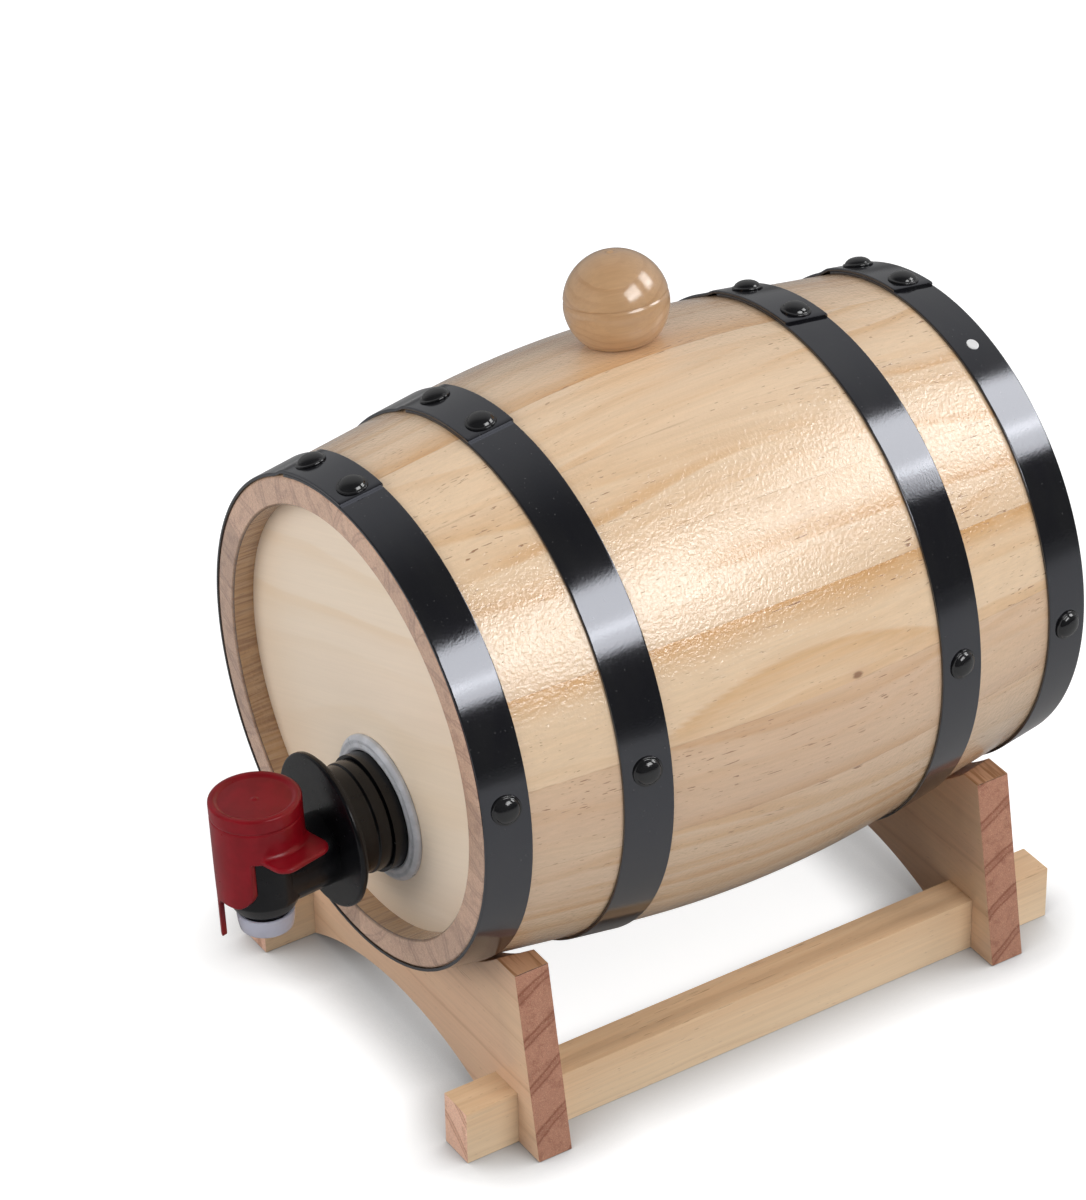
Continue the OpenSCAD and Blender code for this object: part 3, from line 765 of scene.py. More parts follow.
@dataclass(frozen=True)
class Board:
    """How a wooden piece was sawn from its tree.

    Attributes:
        along: the board's direction.
        upward: the direction away from the tree's heart.
        shift: the board's place in the tree, in millimetres: across, along and out from the heart.
        lean: how far the heart drifts sideways over the board's length, as a slope.
        tone: its tint, -1 to 1.
        blush: how pink it is, 0 to 1.
    """

    along: Vector
    upward: Vector
    shift: Triple
    lean: float
    tone: float
    blush: float = 0.2

    # A face turns into end grain from this share of the board's direction in its normal, over this span
    END_FROM, END_SPAN = 0.35, 0.4

    def grain_mesh(self, mesh: bpy.types.Mesh, origin: Vector) -> None:
        """Stores grain, end, tone and blush on a mesh.

        Args:
            mesh: the mesh, in its final place.
            origin: the middle of the board.
        """
        along = self.along.normalized()
        across = along.cross(self.upward).normalized()
        up = across.cross(along)
        grain = []
        for v in mesh.vertices:
            d = (v.co - origin) / MM
            y = d.dot(along)
            grain.append((d.dot(across) + self.shift[0] + self.lean * y, y + self.shift[1], d.dot(up) + self.shift[2]))
        vector_attribute(mesh, "grain", grain)
        cut = [abs(p.normal.dot(along)) for p in mesh.polygons]
        float_attribute(mesh, "end", [unit((share - self.END_FROM) / self.END_SPAN) for share in cut], "FACE")
        float_attribute(mesh, "tone", [self.tone] * len(mesh.vertices))
        float_attribute(mesh, "blush", [self.blush] * len(mesh.vertices))


def finish_piece(
    piece: bpy.types.Object, material: bpy.types.Material, body: str, nodes: Sequence[str],
) -> None:
    """Gives a piece its material and its place in the frame.

    Args:
        piece: the object.
        material: its finish.
        body: the body that it rides on.
        nodes: the CAD nodes that it stands for.
    """
    piece.data.materials.clear()
    piece.data.materials.append(material)
    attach(piece, body)
    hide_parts(*nodes)
    LOG.info("%s: %d faces on %s", piece.name, len(piece.data.polygons), body)


def dress_node(node: str, material: bpy.types.Material) -> None:
    """Gives a CAD node a finish.

    Args:
        node: the node's name.
        material: its finish.
    """
    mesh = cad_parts[node].data
    mesh.materials.clear()
    mesh.materials.append(material)
    LOG.info("%s: CAD node dressed", node)


def node_copy(node: str, name: str) -> bpy.types.Object:
    """Copies a CAD node's mesh, with its doubled corners merged and its flat faces whole.

    Args:
        node: the node's name.
        name: the copy's name.

    Returns:
        The copy.
    """
    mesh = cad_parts[node].data.copy()
    work = bmesh.new()
    work.from_mesh(mesh)
    bmesh.ops.remove_doubles(work, verts=work.verts, dist=2e-6)
    bmesh.ops.dissolve_limit(work, angle_limit=math.radians(1.0), verts=work.verts, edges=work.edges)
    work.to_mesh(mesh)
    work.free()
    return link(mesh, name)


# ---------------------------------------------------------------- cask


@dataclass(frozen=True)
class CaskShape:
    """The outline and place of the cask, in millimetres, as the CAD part has them."""

    length: float = 220.0
    bilge_r: float = 91.0
    end_r: float = 79.0
    belly: float = 98.0
    stave_t: float = 9.2
    recess: float = 7.5
    head_t: float = 6.0
    croze_depth: float = 2.5
    croze_lip: float = 4.0
    axis_h: float = 124.4
    middle_y: float = 25.0
    roll: float = -12.0
    staves: int = 18

    @property
    def slope(self) -> float:
        """Slope of the straight ends of the staves."""
        return (self.bilge_r - self.end_r) / (self.length / 2 - self.belly / 4)

    def wood_r(self, y: float) -> float:
        """Outer radius of the wood at a place along the cask."""
        if abs(y) < self.belly / 2:
            return self.bilge_r - self.slope * y * y / self.belly
        return self.end_r + self.slope * (self.length / 2 - abs(y))

    def matrix(self) -> Matrix:
        """Moves the cask's own frame to the row frame, in metres."""
        middle = Matrix.Translation(Vector((0, self.middle_y, self.axis_h)) * MM)
        return middle @ Matrix.Rotation(math.radians(self.roll), 4, "Y")

    def radial(self, angle: float, y: float, radius: float, lean: float = 0.0) -> Matrix:
        """Stands a piece's own Z axis out from the cask.

        Args:
            angle: degrees from the top of the cask towards +X.
            y: place along the cask, in millimetres.
            radius: distance of the piece's foot from the axis.
            lean: degrees that the piece leans along the cask.

        Returns:
            The matrix.
        """
        spot = Matrix.Rotation(math.radians(angle), 4, "Y") @ Matrix.Translation(Vector((0, y, radius)) * MM)
        return self.matrix() @ spot @ Matrix.Rotation(math.radians(lean), 4, "X")


class PieceTree:
    """A geometry tree that makes a piece, with sizes and a material as its inputs."""

    SIZES: Sequence[str] = ()

    def __init__(self, name: str) -> None:
        """Makes the tree with nothing between its inputs and its output.

        Args:
            name: the tree's name.
        """
        self.tree = bpy.data.node_groups.new(name, "GeometryNodeTree")
        self.tree.is_modifier = True
        sockets = self.tree.interface
        sockets.new_socket("Geometry", in_out="INPUT", socket_type="NodeSocketGeometry")
        for size in self.SIZES:
            sockets.new_socket(size, in_out="INPUT", socket_type="NodeSocketFloat")
        sockets.new_socket("Material", in_out="INPUT", socket_type="NodeSocketMaterial")
        sockets.new_socket("Geometry", in_out="OUTPUT", socket_type="NodeSocketGeometry")
        self.keys = {item.name: item.identifier for item in sockets.items_tree if item.in_out == "INPUT"}

    @staticmethod
    def dress(g: Graph, geometry: Any, given: bpy.types.bpy_prop_collection) -> None:
        """Adds the tree's end: the geometry made real and given the material.

        Args:
            g: the tree's graph.
            geometry: what the tree makes.
            given: the tree's inputs.
        """
        whole = g.add("GeometryNodeRealizeInstances", {0: geometry})
        dressed = g.add("GeometryNodeSetMaterial", {"Geometry": whole, "Material": given["Material"]})
        g.add("NodeGroupOutput", {"Geometry": dressed})

    def run(self, piece: bpy.types.Object, values: Sequence[float], material: bpy.types.Material) -> None:
        """Runs the tree on a piece, and its result becomes the piece's mesh.

        Args:
            piece: the object.
            values: the sizes, in the order of SIZES.
            material: the piece's finish.
        """
        modifier = piece.modifiers.new("tree", "NODES")
        modifier.node_group = self.tree
        for size, value in zip(self.SIZES, values):
            modifier[self.keys[size]] = float(value)
        modifier[self.keys["Material"]] = material
        apply_modifiers(piece)


class WrapTree(PieceTree):
    """A geometry tree that bends a flat piece round the cask.

    The flat piece has X as the angle from the top of the cask in degrees, Y as the place along it and Z as the height
    above the wood, both in millimetres. The tree finds the radius of the wood by the rule of the cask's outline.
    """

    SIZES = ("Bilge radius", "End radius", "Length", "Belly length", "Axis height", "Middle place", "Roll", "Turn")

    def __init__(self, shape: CaskShape) -> None:
        """Builds the tree.

        Args:
            shape: the cask's outline.
        """
        super().__init__("wrap_round_cask")
        self.shape = shape
        g = Graph(self.tree)
        given = g.add("NodeGroupInput").outputs
        angle, y, height = g.split(g.add("GeometryNodeInputPosition"))
        away = g.math("ABSOLUTE", y)
        half = g.math("MULTIPLY", given["Length"], 0.5)
        run = g.math("SUBTRACT", half, g.math("MULTIPLY", given["Belly length"], 0.25))
        slope = g.math("DIVIDE", g.math("SUBTRACT", given["Bilge radius"], given["End radius"]), run)
        bow = g.math("DIVIDE", g.math("MULTIPLY", slope, g.math("MULTIPLY", y, y)), given["Belly length"])
        curved = g.math("SUBTRACT", given["Bilge radius"], bow)
        straight = g.math("ADD", given["End radius"], g.math("MULTIPLY", slope, g.math("SUBTRACT", half, away)))
        inside = g.math("LESS_THAN", away, g.math("MULTIPLY", given["Belly length"], 0.5))
        wood = g.math("ADD", g.math("MULTIPLY", inside, curved),
                      g.math("MULTIPLY", g.math("SUBTRACT", 1.0, inside), straight))
        radius = g.math("ADD", wood, height)
        turn = g.math("RADIANS", g.math("ADD", angle, given["Turn"]))
        bent = g.join(
            g.math("MULTIPLY", radius, g.math("SINE", turn)), y, g.math("MULTIPLY", radius, g.math("COSINE", turn)))
        moved = g.add("GeometryNodeSetPosition", {"Geometry": given["Geometry"], "Position": bent})
        middle = g.join(0.0, given["Middle place"], given["Axis height"])
        laid = g.add("GeometryNodeTransform", {
            "Geometry": moved,
            "Translation": g.add("ShaderNodeVectorMath", {0: middle, "Scale": MM}, operation="SCALE"),
            "Rotation": g.join(0.0, g.math("RADIANS", given["Roll"]), 0.0),
            "Scale": (MM, MM, MM)})
        self.dress(g, laid, given)

    def bend(self, flat: bpy.types.Mesh, name: str, turn: float, material: bpy.types.Material) -> bpy.types.Object:
        """Bends a flat mesh round the cask.

        Args:
            flat: the flat mesh.
            name: the piece's name.
            turn: degrees that it is turned from the top towards +X.
            material: its finish.

        Returns:
            The bent piece.
        """
        s = self.shape
        piece = link(flat, name)
        self.run(piece, (s.bilge_r, s.end_r, s.length, s.belly, s.axis_h, s.middle_y, s.roll, turn), material)
        return piece


def sweep(rows: Sequence[Sequence[Sequence[float]]], name: str) -> bpy.types.Mesh:
    """Joins closed rows of points into a solid with flat ends.

    Args:
        rows: the rows, each a closed loop with as many points.
        name: the mesh's name.

    Returns:
        The mesh.
    """
    size = len(rows[0])
    points = [p for row in rows for p in row]
    faces: list[Sequence[int]] = []
    for i in range(len(rows) - 1):
        for j in range(size):
            k = (j + 1) % size
            faces.append((i * size + j, i * size + k, (i + 1) * size + k, (i + 1) * size + j))
    faces.append(tuple(range(size)))
    faces.append(tuple(range((len(rows) - 1) * size, len(rows) * size)))
    return mesh_from(points, faces, name)


@dataclass(frozen=True)
class Streak:
    """A band of late wood along the cask, sharp on one side and faded on the other.

    Attributes:
        turn: degrees from the top of the cask at its middle.
        lean: degrees that it turns in a millimetre along the cask.
        bow: how much that grows along the cask.
        width: degrees that it fades over.
        side: 1 where its sharp side looks down the cask's right side, -1 where it looks up.
        strength: how dark it is, 0 to 1.
        start: where it begins along the cask.
        stop: where it ends.
        stave: the only stave that has it, or -1 for any.
    """

    turn: float
    lean: float
    bow: float
    width: float
    side: int
    strength: float
    start: float
    stop: float
    stave: int = -1

    def value(self, stave: int, angle: float, y: float) -> float:
        """Strength of the band at a place on a stave.

        Args:
            stave: the stave's number, from 0 at the top.
            angle: degrees from the top.
            y: place along the cask.

        Returns:
            The strength, 0 to 1.
        """
        if self.stave not in (-1, stave) or not self.start < y < self.stop:
            return 0.0
        centre = self.turn + self.lean * y + self.bow * y * y
        if self.stave < 0:
            centre += 1.3 * noise.noise(Vector((0.030 * y, self.turn, 1.7)))
        off = (angle - centre) * self.side
        width = self.width * (1 + 0.5 * noise.noise(Vector((0.022 * y, self.turn, 8.1))))
        body = max(0.0, 1 - off / 0.7) if off > 0 else max(0.0, 1 + off / width) ** 0.95
        fade = min(1.0, (y - self.start) / 22, (self.stop - y) / 22)
        return self.strength * body * fade * fade * (3 - 2 * fade)


@dataclass
class Staves:
    """The staves of the cask, each bent by the wrap tree from a flat board."""

    shape: CaskShape
    wrap: WrapTree
    edge_round: float = 1.3
    mouth_round: float = 0.7
    seam_drop: float = 0.02
    bung_hole_r: float = 9.5
    bung_back: float = 3.0
    seed: int = 11

    # Tint and pinkness of the staves that face the light, by their number from the top
    TINTS = {
        17: (0.2, 0.5), 0: (0.3, 0.35), 1: (0.5, 0.08), 2: (0.2, 0.12), 3: (0.1, 0.15), 4: (0.3, 0.0),
        5: (-0.2, 0.55), 6: (0.1, 0.40), 7: (-0.2, 0.25)}
    # The inner faces and the croze: broken dark that is partly their own marks and partly painted shade, late wood, a
    # darker tone that is painted shade, and pinkness
    DEEP_SEAM, DEEP_STREAK, DEEP_TONE, DEEP_BLUSH = 2.6, 0.95, -2.8, 0.1
    # They lie this far below the outer face at the mouth and behind the stave's end, in millimetres
    DEEP_BELOW, DEEP_BEHIND = 3, 0.3
    # Degrees beside a joint that are dark, and that its chamfer takes, to its middle and to its end
    SEAM_TURN, CHAMFER_MIDDLE, CHAMFER_END = 0.15, 0.10, 0.28
    STREAKS = (
        Streak(10.0, 0.0, 0.0, 7.0, 1, 0.95, -130, 80, 0), Streak(-3.0, 0.02, 0.0, 3.5, 1, 0.40, -70, 130, 0),
        Streak(3.5, -0.02, 0.0, 2.5, 1, 0.30, -120, 20, 0), Streak(18.3, -0.062, -0.0009, 2.4, 1, 0.45, -60, 45),
        Streak(13.5, 0.03, 0.0, 4.0, -1, 0.30, -60, 90, 1), Streak(25.5, -0.02, 0.0, 5.0, 1, 0.28, -80, 60, 1),
        Streak(33.0, 0.01, 0.0, 3.2, 1, 0.80, 52, 125), Streak(38.0, 0.05, 0.0, 5.0, 1, 0.34, -60, 50, 2),
        Streak(45.5, -0.03, 0.0004, 4.0, 1, 0.32, -60, 40, 2), Streak(47.4, 0.146, 0.0, 4.0, 1, 0.55, -115, -45),
        Streak(60.1, 0.10, 0.0, 6.0, 1, 0.60, -118, -45), Streak(60.4, 0.0, 0.0, 4.8, 1, 0.90, -32, 130),
        Streak(69.9, 0.0, 0.0, 6.5, -1, 1.0, -130, 130, 4), Streak(80.5, -0.007, 0.0029, 9.0, -1, 0.62, -62, 66, 4),
        Streak(76.5, 0.02, 0.0, 3.0, 1, 0.35, 50, 120, 4), Streak(93.5, 0.02, -0.0009, 3.2, 1, 0.80, -75, 70, 5),
        Streak(96.5, 0.0, 0.0, 3.0, 1, 0.40, 55, 125, 5), Streak(101.0, 0.03, 0.0, 3.5, 1, 0.35, -120, -30, 5),
        Streak(109.8, 0.0, 0.0, 3.4, 1, 0.80, -60, 60, 5), Streak(111.5, 0.0, 0.0, 2.5, 1, 0.40, 55, 125, 6),
        Streak(116.5, 0.027, 0.0, 3.6, 1, 0.70, -90, 75, 6), Streak(121.8, 0.02, 0.0, 3.0, -1, 0.75, -90, 75, 6),
        Streak(127.4, 0.0, 0.0, 3.4, 1, 0.95, -125, 70, 6), Streak(135.0, 0.0, 0.0, 6.0, 1, 0.60, -125, 125, 7),
        Streak(-14.0, 0.0, 0.0, 4.0, -1, 0.55, -120, 120, 17), Streak(-24.0, 0.02, 0.0, 4.0, 1, 0.5, -120, 120, 17),
        Streak(-47.0, 0.03, 0.0, 6.0, 1, 0.7, -125, 125), Streak(-80.0, -0.03, 0.0008, 7.0, -1, 0.7, -125, 125),
        Streak(-118.0, 0.02, 0.0, 6.0, 1, 0.7, -125, 125), Streak(170.0, -0.02, 0.0, 6.0, -1, 0.6, -125, 125),
    )

    def profile(self) -> list[Triple]:
        """Side view of a flat stave, as (place along it, height, how much of the seam's chamfer it takes)."""
        s = self.shape
        half = s.length / 2
        mouth = s.end_r - s.stave_t
        round_r = self.edge_round
        points: list[Triple] = []
        # Outer face, with rounded ends
        arc = [(half - round_r * (1 - math.sin(a)), -round_r * (1 - math.cos(a)))
               for a in (math.radians(d) for d in range(0, 91, 15))]
        points += [(-y, h, 1.0) for y, h in reversed(arc)]
        inner = half - round_r
        steps = 76
        points += [(-inner + 2 * inner * i / steps, 0.0, 1.0) for i in range(1, steps)]
        points += [(y, h, 1.0) for y, h in arc]

        def down(radius: float, y: float) -> float:
            """Height of a point at a radius, below the wood's surface."""
            return radius - s.wood_r(y)

        head_out = half - s.recess
        groove_in = head_out - s.head_t - 0.05
        lip_in = groove_in - s.croze_lip
        side = [
            (half, mouth + self.mouth_round), (half - self.mouth_round, mouth), (head_out, mouth),
            (head_out, mouth + s.croze_depth), (groove_in, mouth + s.croze_depth), (groove_in, mouth), (lip_in, mouth)]
        points += [(y, down(r, y), 0.5) for y, r in side]
        back = s.belly / 2
        for i in range(13):
            y = back - 2 * back * i / 12
            points.append((y, -s.stave_t, 0.0))
        points += [(-y, down(r, y), 0.5) for y, r in reversed(side)]
        return points

    def flat(self) -> bpy.types.Mesh:
        """Makes one flat stave."""
        half = 180 / self.shape.staves
        side = [(half, 1.0), (half - self.CHAMFER_MIDDLE, 0.45), (half - self.CHAMFER_END, 0.0)]
        columns = [(-a, d) for a, d in side]
        inner = half - self.CHAMFER_END
        steps = 27
        columns += [(-inner + 2 * inner * i / steps, 0.0) for i in range(1, steps)]
        columns += list(reversed(side))
        profile = self.profile()
        rows = [[(a, y, h - drop * self.seam_drop * share) for y, h, share in profile] for a, drop in columns]
        return sweep(rows, "flat_stave")

    def build(self, finishes: Finishes) -> None:
        """Makes all the staves.

        Args:
            finishes: the object's finishes.
        """
        chance = random.Random(self.seed)
        s = self.shape
        turn_back = s.matrix().inverted()
        for i in range(s.staves):
            angle = 360 / s.staves * i
            piece = self.wrap.bend(self.flat(), f"pine_stave_{i + 1:02d}", angle, finishes.stave)
            if i == 0:
                drill = lathe([(0, 60), (self.bung_hole_r, 60), (self.bung_hole_r, 100), (0, 100)], "drill", 96)
                combine(piece, place(drill, s.radial(0, self.bung_back, 0)), "DIFFERENCE")
            mesh = piece.data
            out = s.matrix().to_3x3() @ Vector((math.sin(math.radians(angle)), 0, math.cos(math.radians(angle))))
            origin = s.matrix() @ Vector((0, 0, 0)) + out * s.end_r * MM
            tint, blush = self.TINTS.get(i, (chance.uniform(-0.6, 0.5), chance.uniform(0.0, 0.6)))
            board = Board(
                Vector((0, 1, 0)), out,
                (chance.choice((-1, 1)) * chance.uniform(24, 60), chance.uniform(0, 3000), chance.uniform(12, 50)),
                lean=chance.uniform(-0.05, 0.05), tone=tint, blush=blush)
            board.grain_mesh(mesh, origin)
            half = 180 / s.staves
            seam, streak, spot, inside = [], [], [], []
            for v in mesh.vertices:
                p = turn_back @ v.co / MM
                off = (math.degrees(math.atan2(p.x, p.z)) - angle + 180) % 360 - 180
                turn = (angle + off + 180) % 360 - 180 if i != s.staves // 2 else angle + off
                below = math.hypot(p.x, p.z) < s.end_r - self.DEEP_BELOW
                deep = below and abs(p.y) < s.length / 2 - self.DEEP_BEHIND
                # On the inner faces the broken dark is partly their own marks and partly painted shade
                seam.append(self.DEEP_SEAM if deep else 1.0 * (abs(off) > half - self.SEAM_TURN))
                streak.append(self.DEEP_STREAK if deep else max(band.value(i, turn, p.y) for band in self.STREAKS))
                inside.append(deep)
                spot.append((math.radians(turn) * s.bilge_r, p.y, 0.0))
            float_attribute(mesh, "seam", seam)
            float_attribute(mesh, "streak", streak)
            # The inner faces take a darker tone, which is painted shade of the recess
            float_attribute(mesh, "tone", [self.DEEP_TONE if deep else tint for deep in inside])
            float_attribute(mesh, "blush", [self.DEEP_BLUSH if deep else blush for deep in inside])
            vector_attribute(mesh, "spot", spot)
            smooth(mesh, 28)
            finish_piece(piece, finishes.stave, "cask", [f"stave_{i + 1:02d}"])


class HoopPlace(Enum):
    """The hoops, by the CAD nodes that they stand for."""

    FRONT_END = "front_end_hoop"
    FRONT_QUARTER = "front_quarter_hoop"
    REAR_QUARTER = "rear_quarter_hoop"
    REAR_END = "rear_end_hoop"


@dataclass
class Hoop:
    """One hoop of steel strip with overlapped ends, and its rivets.

    Attributes:
        where: which hoop it is.
        y: its middle along the cask, in millimetres.
        width: the strip's width.
        lap_turn: degrees from the top of the cask to the middle of the lap.
        side_rivet: degrees to the single rivet on each side.
        shape: the cask's outline.
        wrap: the tree that bends the strip.
        thickness: the strip's thickness.
        clearance: its height above the wood.
        lap: degrees that its ends overlap.
        rivet_spread: degrees between the two rivets in the lap.
        edge_round: rounding of its outer edges.
        climb: degrees in which the upper end climbs onto the lower one.
        end_ease: how much lower its outer face is at its two ends.
    """

    where: HoopPlace
    y: float
    width: float
    lap_turn: float
    side_rivet: float
    shape: CaskShape
    wrap: WrapTree
    thickness: float = 1.0
    clearance: float = 0.05
    lap: float = 25.0
    rivet_spread: float = 17.5
    edge_round: float = 0.34
    climb: float = 5.0
    end_ease: float = 0.22

    def layer(self, run: float) -> float:
        """How many layers the strip lies above the wood after a run of degrees from its start."""
        t = unit((run - 360 + self.climb) / (self.climb - 0.6))
        return t * t * (3 - 2 * t)

    def strip(self) -> bpy.types.Mesh:
        """Makes the flat strip."""
        w, t, r = self.width / 2, self.thickness, self.edge_round
        flat = w - r - 0.3
        corners = [(-w, 0, 0.15), (w, 0, 0.15), (w, t, r), (flat, t, 0), (-flat, t, 0), (-w, t, r)]
        section = rounded(corners, 3)
        total = 360 + self.lap
        runs = [total * i / 280 for i in range(281)]
        runs[0:1] = [0.0, 0.12]
        runs[-1:] = [total - 0.25, total]
        rows = []
        for run in runs:
            lift = self.clearance + self.layer(run) * (t + 0.02)
            ease = self.end_ease if run in (0.0, total) else 0.0
            rows.append([
                (run - self.lap / 2, self.y + y, lift + h - (ease if h > t / 2 else 0)) for y, h in section])
        return sweep(rows, "flat_strip")

    def angles(self) -> list[tuple[float, int]]:
        """Angles of the rivets, each with the layers of strip under it."""
        half = self.rivet_spread / 2
        return [(self.lap_turn - half, 2), (self.lap_turn + half, 2), (self.side_rivet, 1), (-self.side_rivet, 1)]

    def build(self, finishes: Finishes, rivets: "RivetTree") -> None:
        """Makes the hoop and its rivets.

        Args:
            finishes: the object's finishes.
            rivets: the tree that sets rivets.
        """
        s = self.shape
        piece = self.wrap.bend(self.strip(), f"steel_{self.where.value}", self.lap_turn, finishes.hoop)
        mesh = piece.data
        back = s.matrix().inverted()
        # The paint's pattern is read at a place of its own for each hoop
        run, shift, depth = [], 400 * (self.y > 0), 7.3 * self.y
        for v in mesh.vertices:
            p = back @ v.co
            run.append((math.atan2(p.x, p.z) * s.end_r + shift, p.y / MM, depth))
        vector_attribute(mesh, "grain", run)
        smooth(mesh, 40)
        finish_piece(piece, finishes.hoop, "cask", [self.where.value])
        lean = math.degrees(math.atan(s.slope)) * (1 if self.y < 0 else -1)
        spots = []
        for angle, layers in self.angles():
            foot = s.wood_r(self.y) + self.clearance + layers * self.thickness
            matrix = s.radial(angle, self.y, foot, lean)
            spots.append((matrix.translation.copy(), (matrix.to_3x3() @ Vector((0, 0, 1))).normalized()))
        row = rivets.set_row(spots, f"black_{self.where.value}_rivets", finishes.rivet)
        smooth(row.data, 50)
        finish_piece(row, finishes.rivet, "cask", [f"{self.where.value}_rivets"])


# Place, middle along the cask, width, turn of the lap and turn of the side rivets of each hoop
HOOPS = (
    (HoopPlace.FRONT_END, -102.5, 15.0, 1.0, 92.0),
    (HoopPlace.FRONT_QUARTER, -57.4, 16.0, 1.0, 93.0),
    (HoopPlace.REAR_QUARTER, 57.4, 16.0, 1.0, 97.0),
    (HoopPlace.REAR_END, 102.5, 15.0, -3.0, 101.0),
)


class RivetTree(PieceTree):
    """A geometry tree that turns a domed rivet from a grid and sets one at each point, along its attribute out."""

    SIZES = ("Flange radius", "Head height", "Turn")
    # The sizes' values, in metres and radians
    VALUES = (4.9 * MM, 2.65 * MM, 0.4)
    # Side view of the rivet as (share of the way round it, share of the radius, share of the height)
    OUTLINE = (
        (0.00, 0.000, 1.000), (0.10, 0.170, 0.985), (0.20, 0.340, 0.935), (0.30, 0.500, 0.850), (0.40, 0.640, 0.720),
        (0.50, 0.760, 0.545), (0.58, 0.825, 0.375), (0.64, 0.860, 0.270), (0.70, 0.905, 0.235), (0.76, 0.965, 0.220),
        (0.81, 0.993, 0.160), (0.86, 0.998, 0.060), (0.90, 0.985, 0.000), (1.00, 0.000, 0.000))

    def __init__(self, sides: int = 40, rings: int = 30) -> None:
        """Builds the tree.

        Args:
            sides: steps round a rivet.
            rings: steps from its top round to the middle of its foot.
        """
        super().__init__("rivet_row")
        g = Graph(self.tree)
        given = g.add("NodeGroupInput").outputs
        grid = g.add("GeometryNodeMeshGrid", {
            "Size X": 1.0, "Size Y": 1.0, "Vertices X": sides + 1, "Vertices Y": rings + 1})
        u, v, _ = g.split(g.add("GeometryNodeInputPosition"))
        turn = g.math("MULTIPLY", g.math("ADD", u, 0.5), 2 * math.pi)
        way = g.math("ADD", v, 0.5)
        radius = g.math("MULTIPLY", self.curve(g, way, 1), given["Flange radius"])
        height = g.math("MULTIPLY", self.curve(g, way, 2), given["Head height"])
        x = g.math("MULTIPLY", radius, g.math("COSINE", turn))
        y = g.math("MULTIPLY", radius, g.math("SINE", turn))
        spot = g.join(x, y, height)
        dome = g.add("GeometryNodeSetPosition", {"Geometry": grid.outputs["Mesh"], "Position": spot})
        closed = g.add("GeometryNodeMergeByDistance", {"Geometry": dome, "Distance": 1e-6})
        out = g.add("GeometryNodeInputNamedAttribute", {"Name": "out"}, data_type="FLOAT_VECTOR").outputs[0]
        stand = g.add("FunctionNodeAlignRotationToVector", {"Vector": out}, axis="Z")
        spin = g.add("FunctionNodeRotateRotation", {
            "Rotation": stand, "Rotate By": g.join(0.0, 0.0, given["Turn"])}, rotation_space="LOCAL")
        row = g.add("GeometryNodeInstanceOnPoints", {
            "Points": given["Geometry"], "Instance": closed, "Rotation": spin})
        self.dress(g, row, given)

    def curve(self, g: Graph, way: Any, column: int) -> bpy.types.NodeSocket:
        """Adds a curve through one column of the outline.

        Args:
            g: the tree's graph.
            way: the share of the way round the rivet.
            column: 1 for the radius, 2 for the height.

        Returns:
            The curve's value.
        """
        node = g.add("ShaderNodeFloatCurve", {"Value": way})
        curve = node.mapping.curves[0]
        curve.points[0].location = (self.OUTLINE[0][0], self.OUTLINE[0][column])
        curve.points[1].location = (self.OUTLINE[-1][0], self.OUTLINE[-1][column])
        for entry in self.OUTLINE[1:-1]:
            curve.points.new(entry[0], entry[column])
        for point in curve.points:
            point.handle_type = "VECTOR"
        node.mapping.update()
        return node.outputs[0]

    def set_row(
        self, spots: Sequence[tuple[Vector, Vector]], name: str, material: bpy.types.Material,
    ) -> bpy.types.Object:
        """Sets a rivet at each spot.

        Args:
            spots: the place and outward direction of each rivet.
            name: the piece's name.
            material: its finish.

        Returns:
            The piece.
        """
        mesh = bpy.data.meshes.new(name)
        mesh.from_pydata([p for p, _ in spots], [], [])
        vector_attribute(mesh, "out", [n for _, n in spots])
        piece = link(mesh, name)
        self.run(piece, self.VALUES, material)
        tidy_mesh(piece.data)
        return piece


@dataclass
class Heads:
    """The two heads of the cask."""

    shape: CaskShape
    gland_hole_r: float = 19.05
    tap_drop: float = 31.0

    def build(self, finishes: Finishes) -> None:
        """Makes both heads.

        Args:
            finishes: the object's finishes.
        """
        s = self.shape
        radius = s.end_r - s.stave_t + s.croze_depth - 0.05
        for end, name in ((-1, "front"), (1, "rear")):
            profile = rounded([(0, 0, 0), (radius, 0, 0.3), (radius, s.head_t, 0.3), (0, s.head_t, 0)], 3)
            mesh = lathe(profile, f"{name}_disc", 160)
            outer = s.length / 2 - s.recess
            stand_up = Matrix.Rotation(math.radians(-90), 4, "X")
            shift = Vector((0, -outer if end < 0 else outer - s.head_t, 0)) * MM
            mesh.transform(s.matrix() @ Matrix.Translation(shift) @ stand_up)
            piece = link(mesh, f"pine_{name}_head")
            if end < 0:
                hole = lathe([(0, -3), (self.gland_hole_r, -3), (self.gland_hole_r, 12), (0, 12)], "hole", 128)
                spot = Matrix.Translation(Vector((0, -outer, -self.tap_drop)) * MM)
                combine(piece, place(hole, s.matrix() @ spot @ stand_up), "DIFFERENCE")
            level = s.matrix().to_3x3()
            board = Board(
                level @ Vector((1, 0, 0.12)), level @ Vector((0, end, 0)),
                (-20.0, 300.0 if end < 0 else 900.0, 14.0), lean=0.06, tone=0.6 if end < 0 else 0.2)
            middle = s.matrix() @ (Vector((0, end * outer, 0)) * MM)
            board.grain_mesh(piece.data, middle)
            float_attribute(piece.data, "seam", [0.0] * len(piece.data.vertices))
            smooth(piece.data, 30)
            finish_piece(piece, finishes.head, "cask", [f"{name}_head"])


# ---------------------------------------------------------------- bung


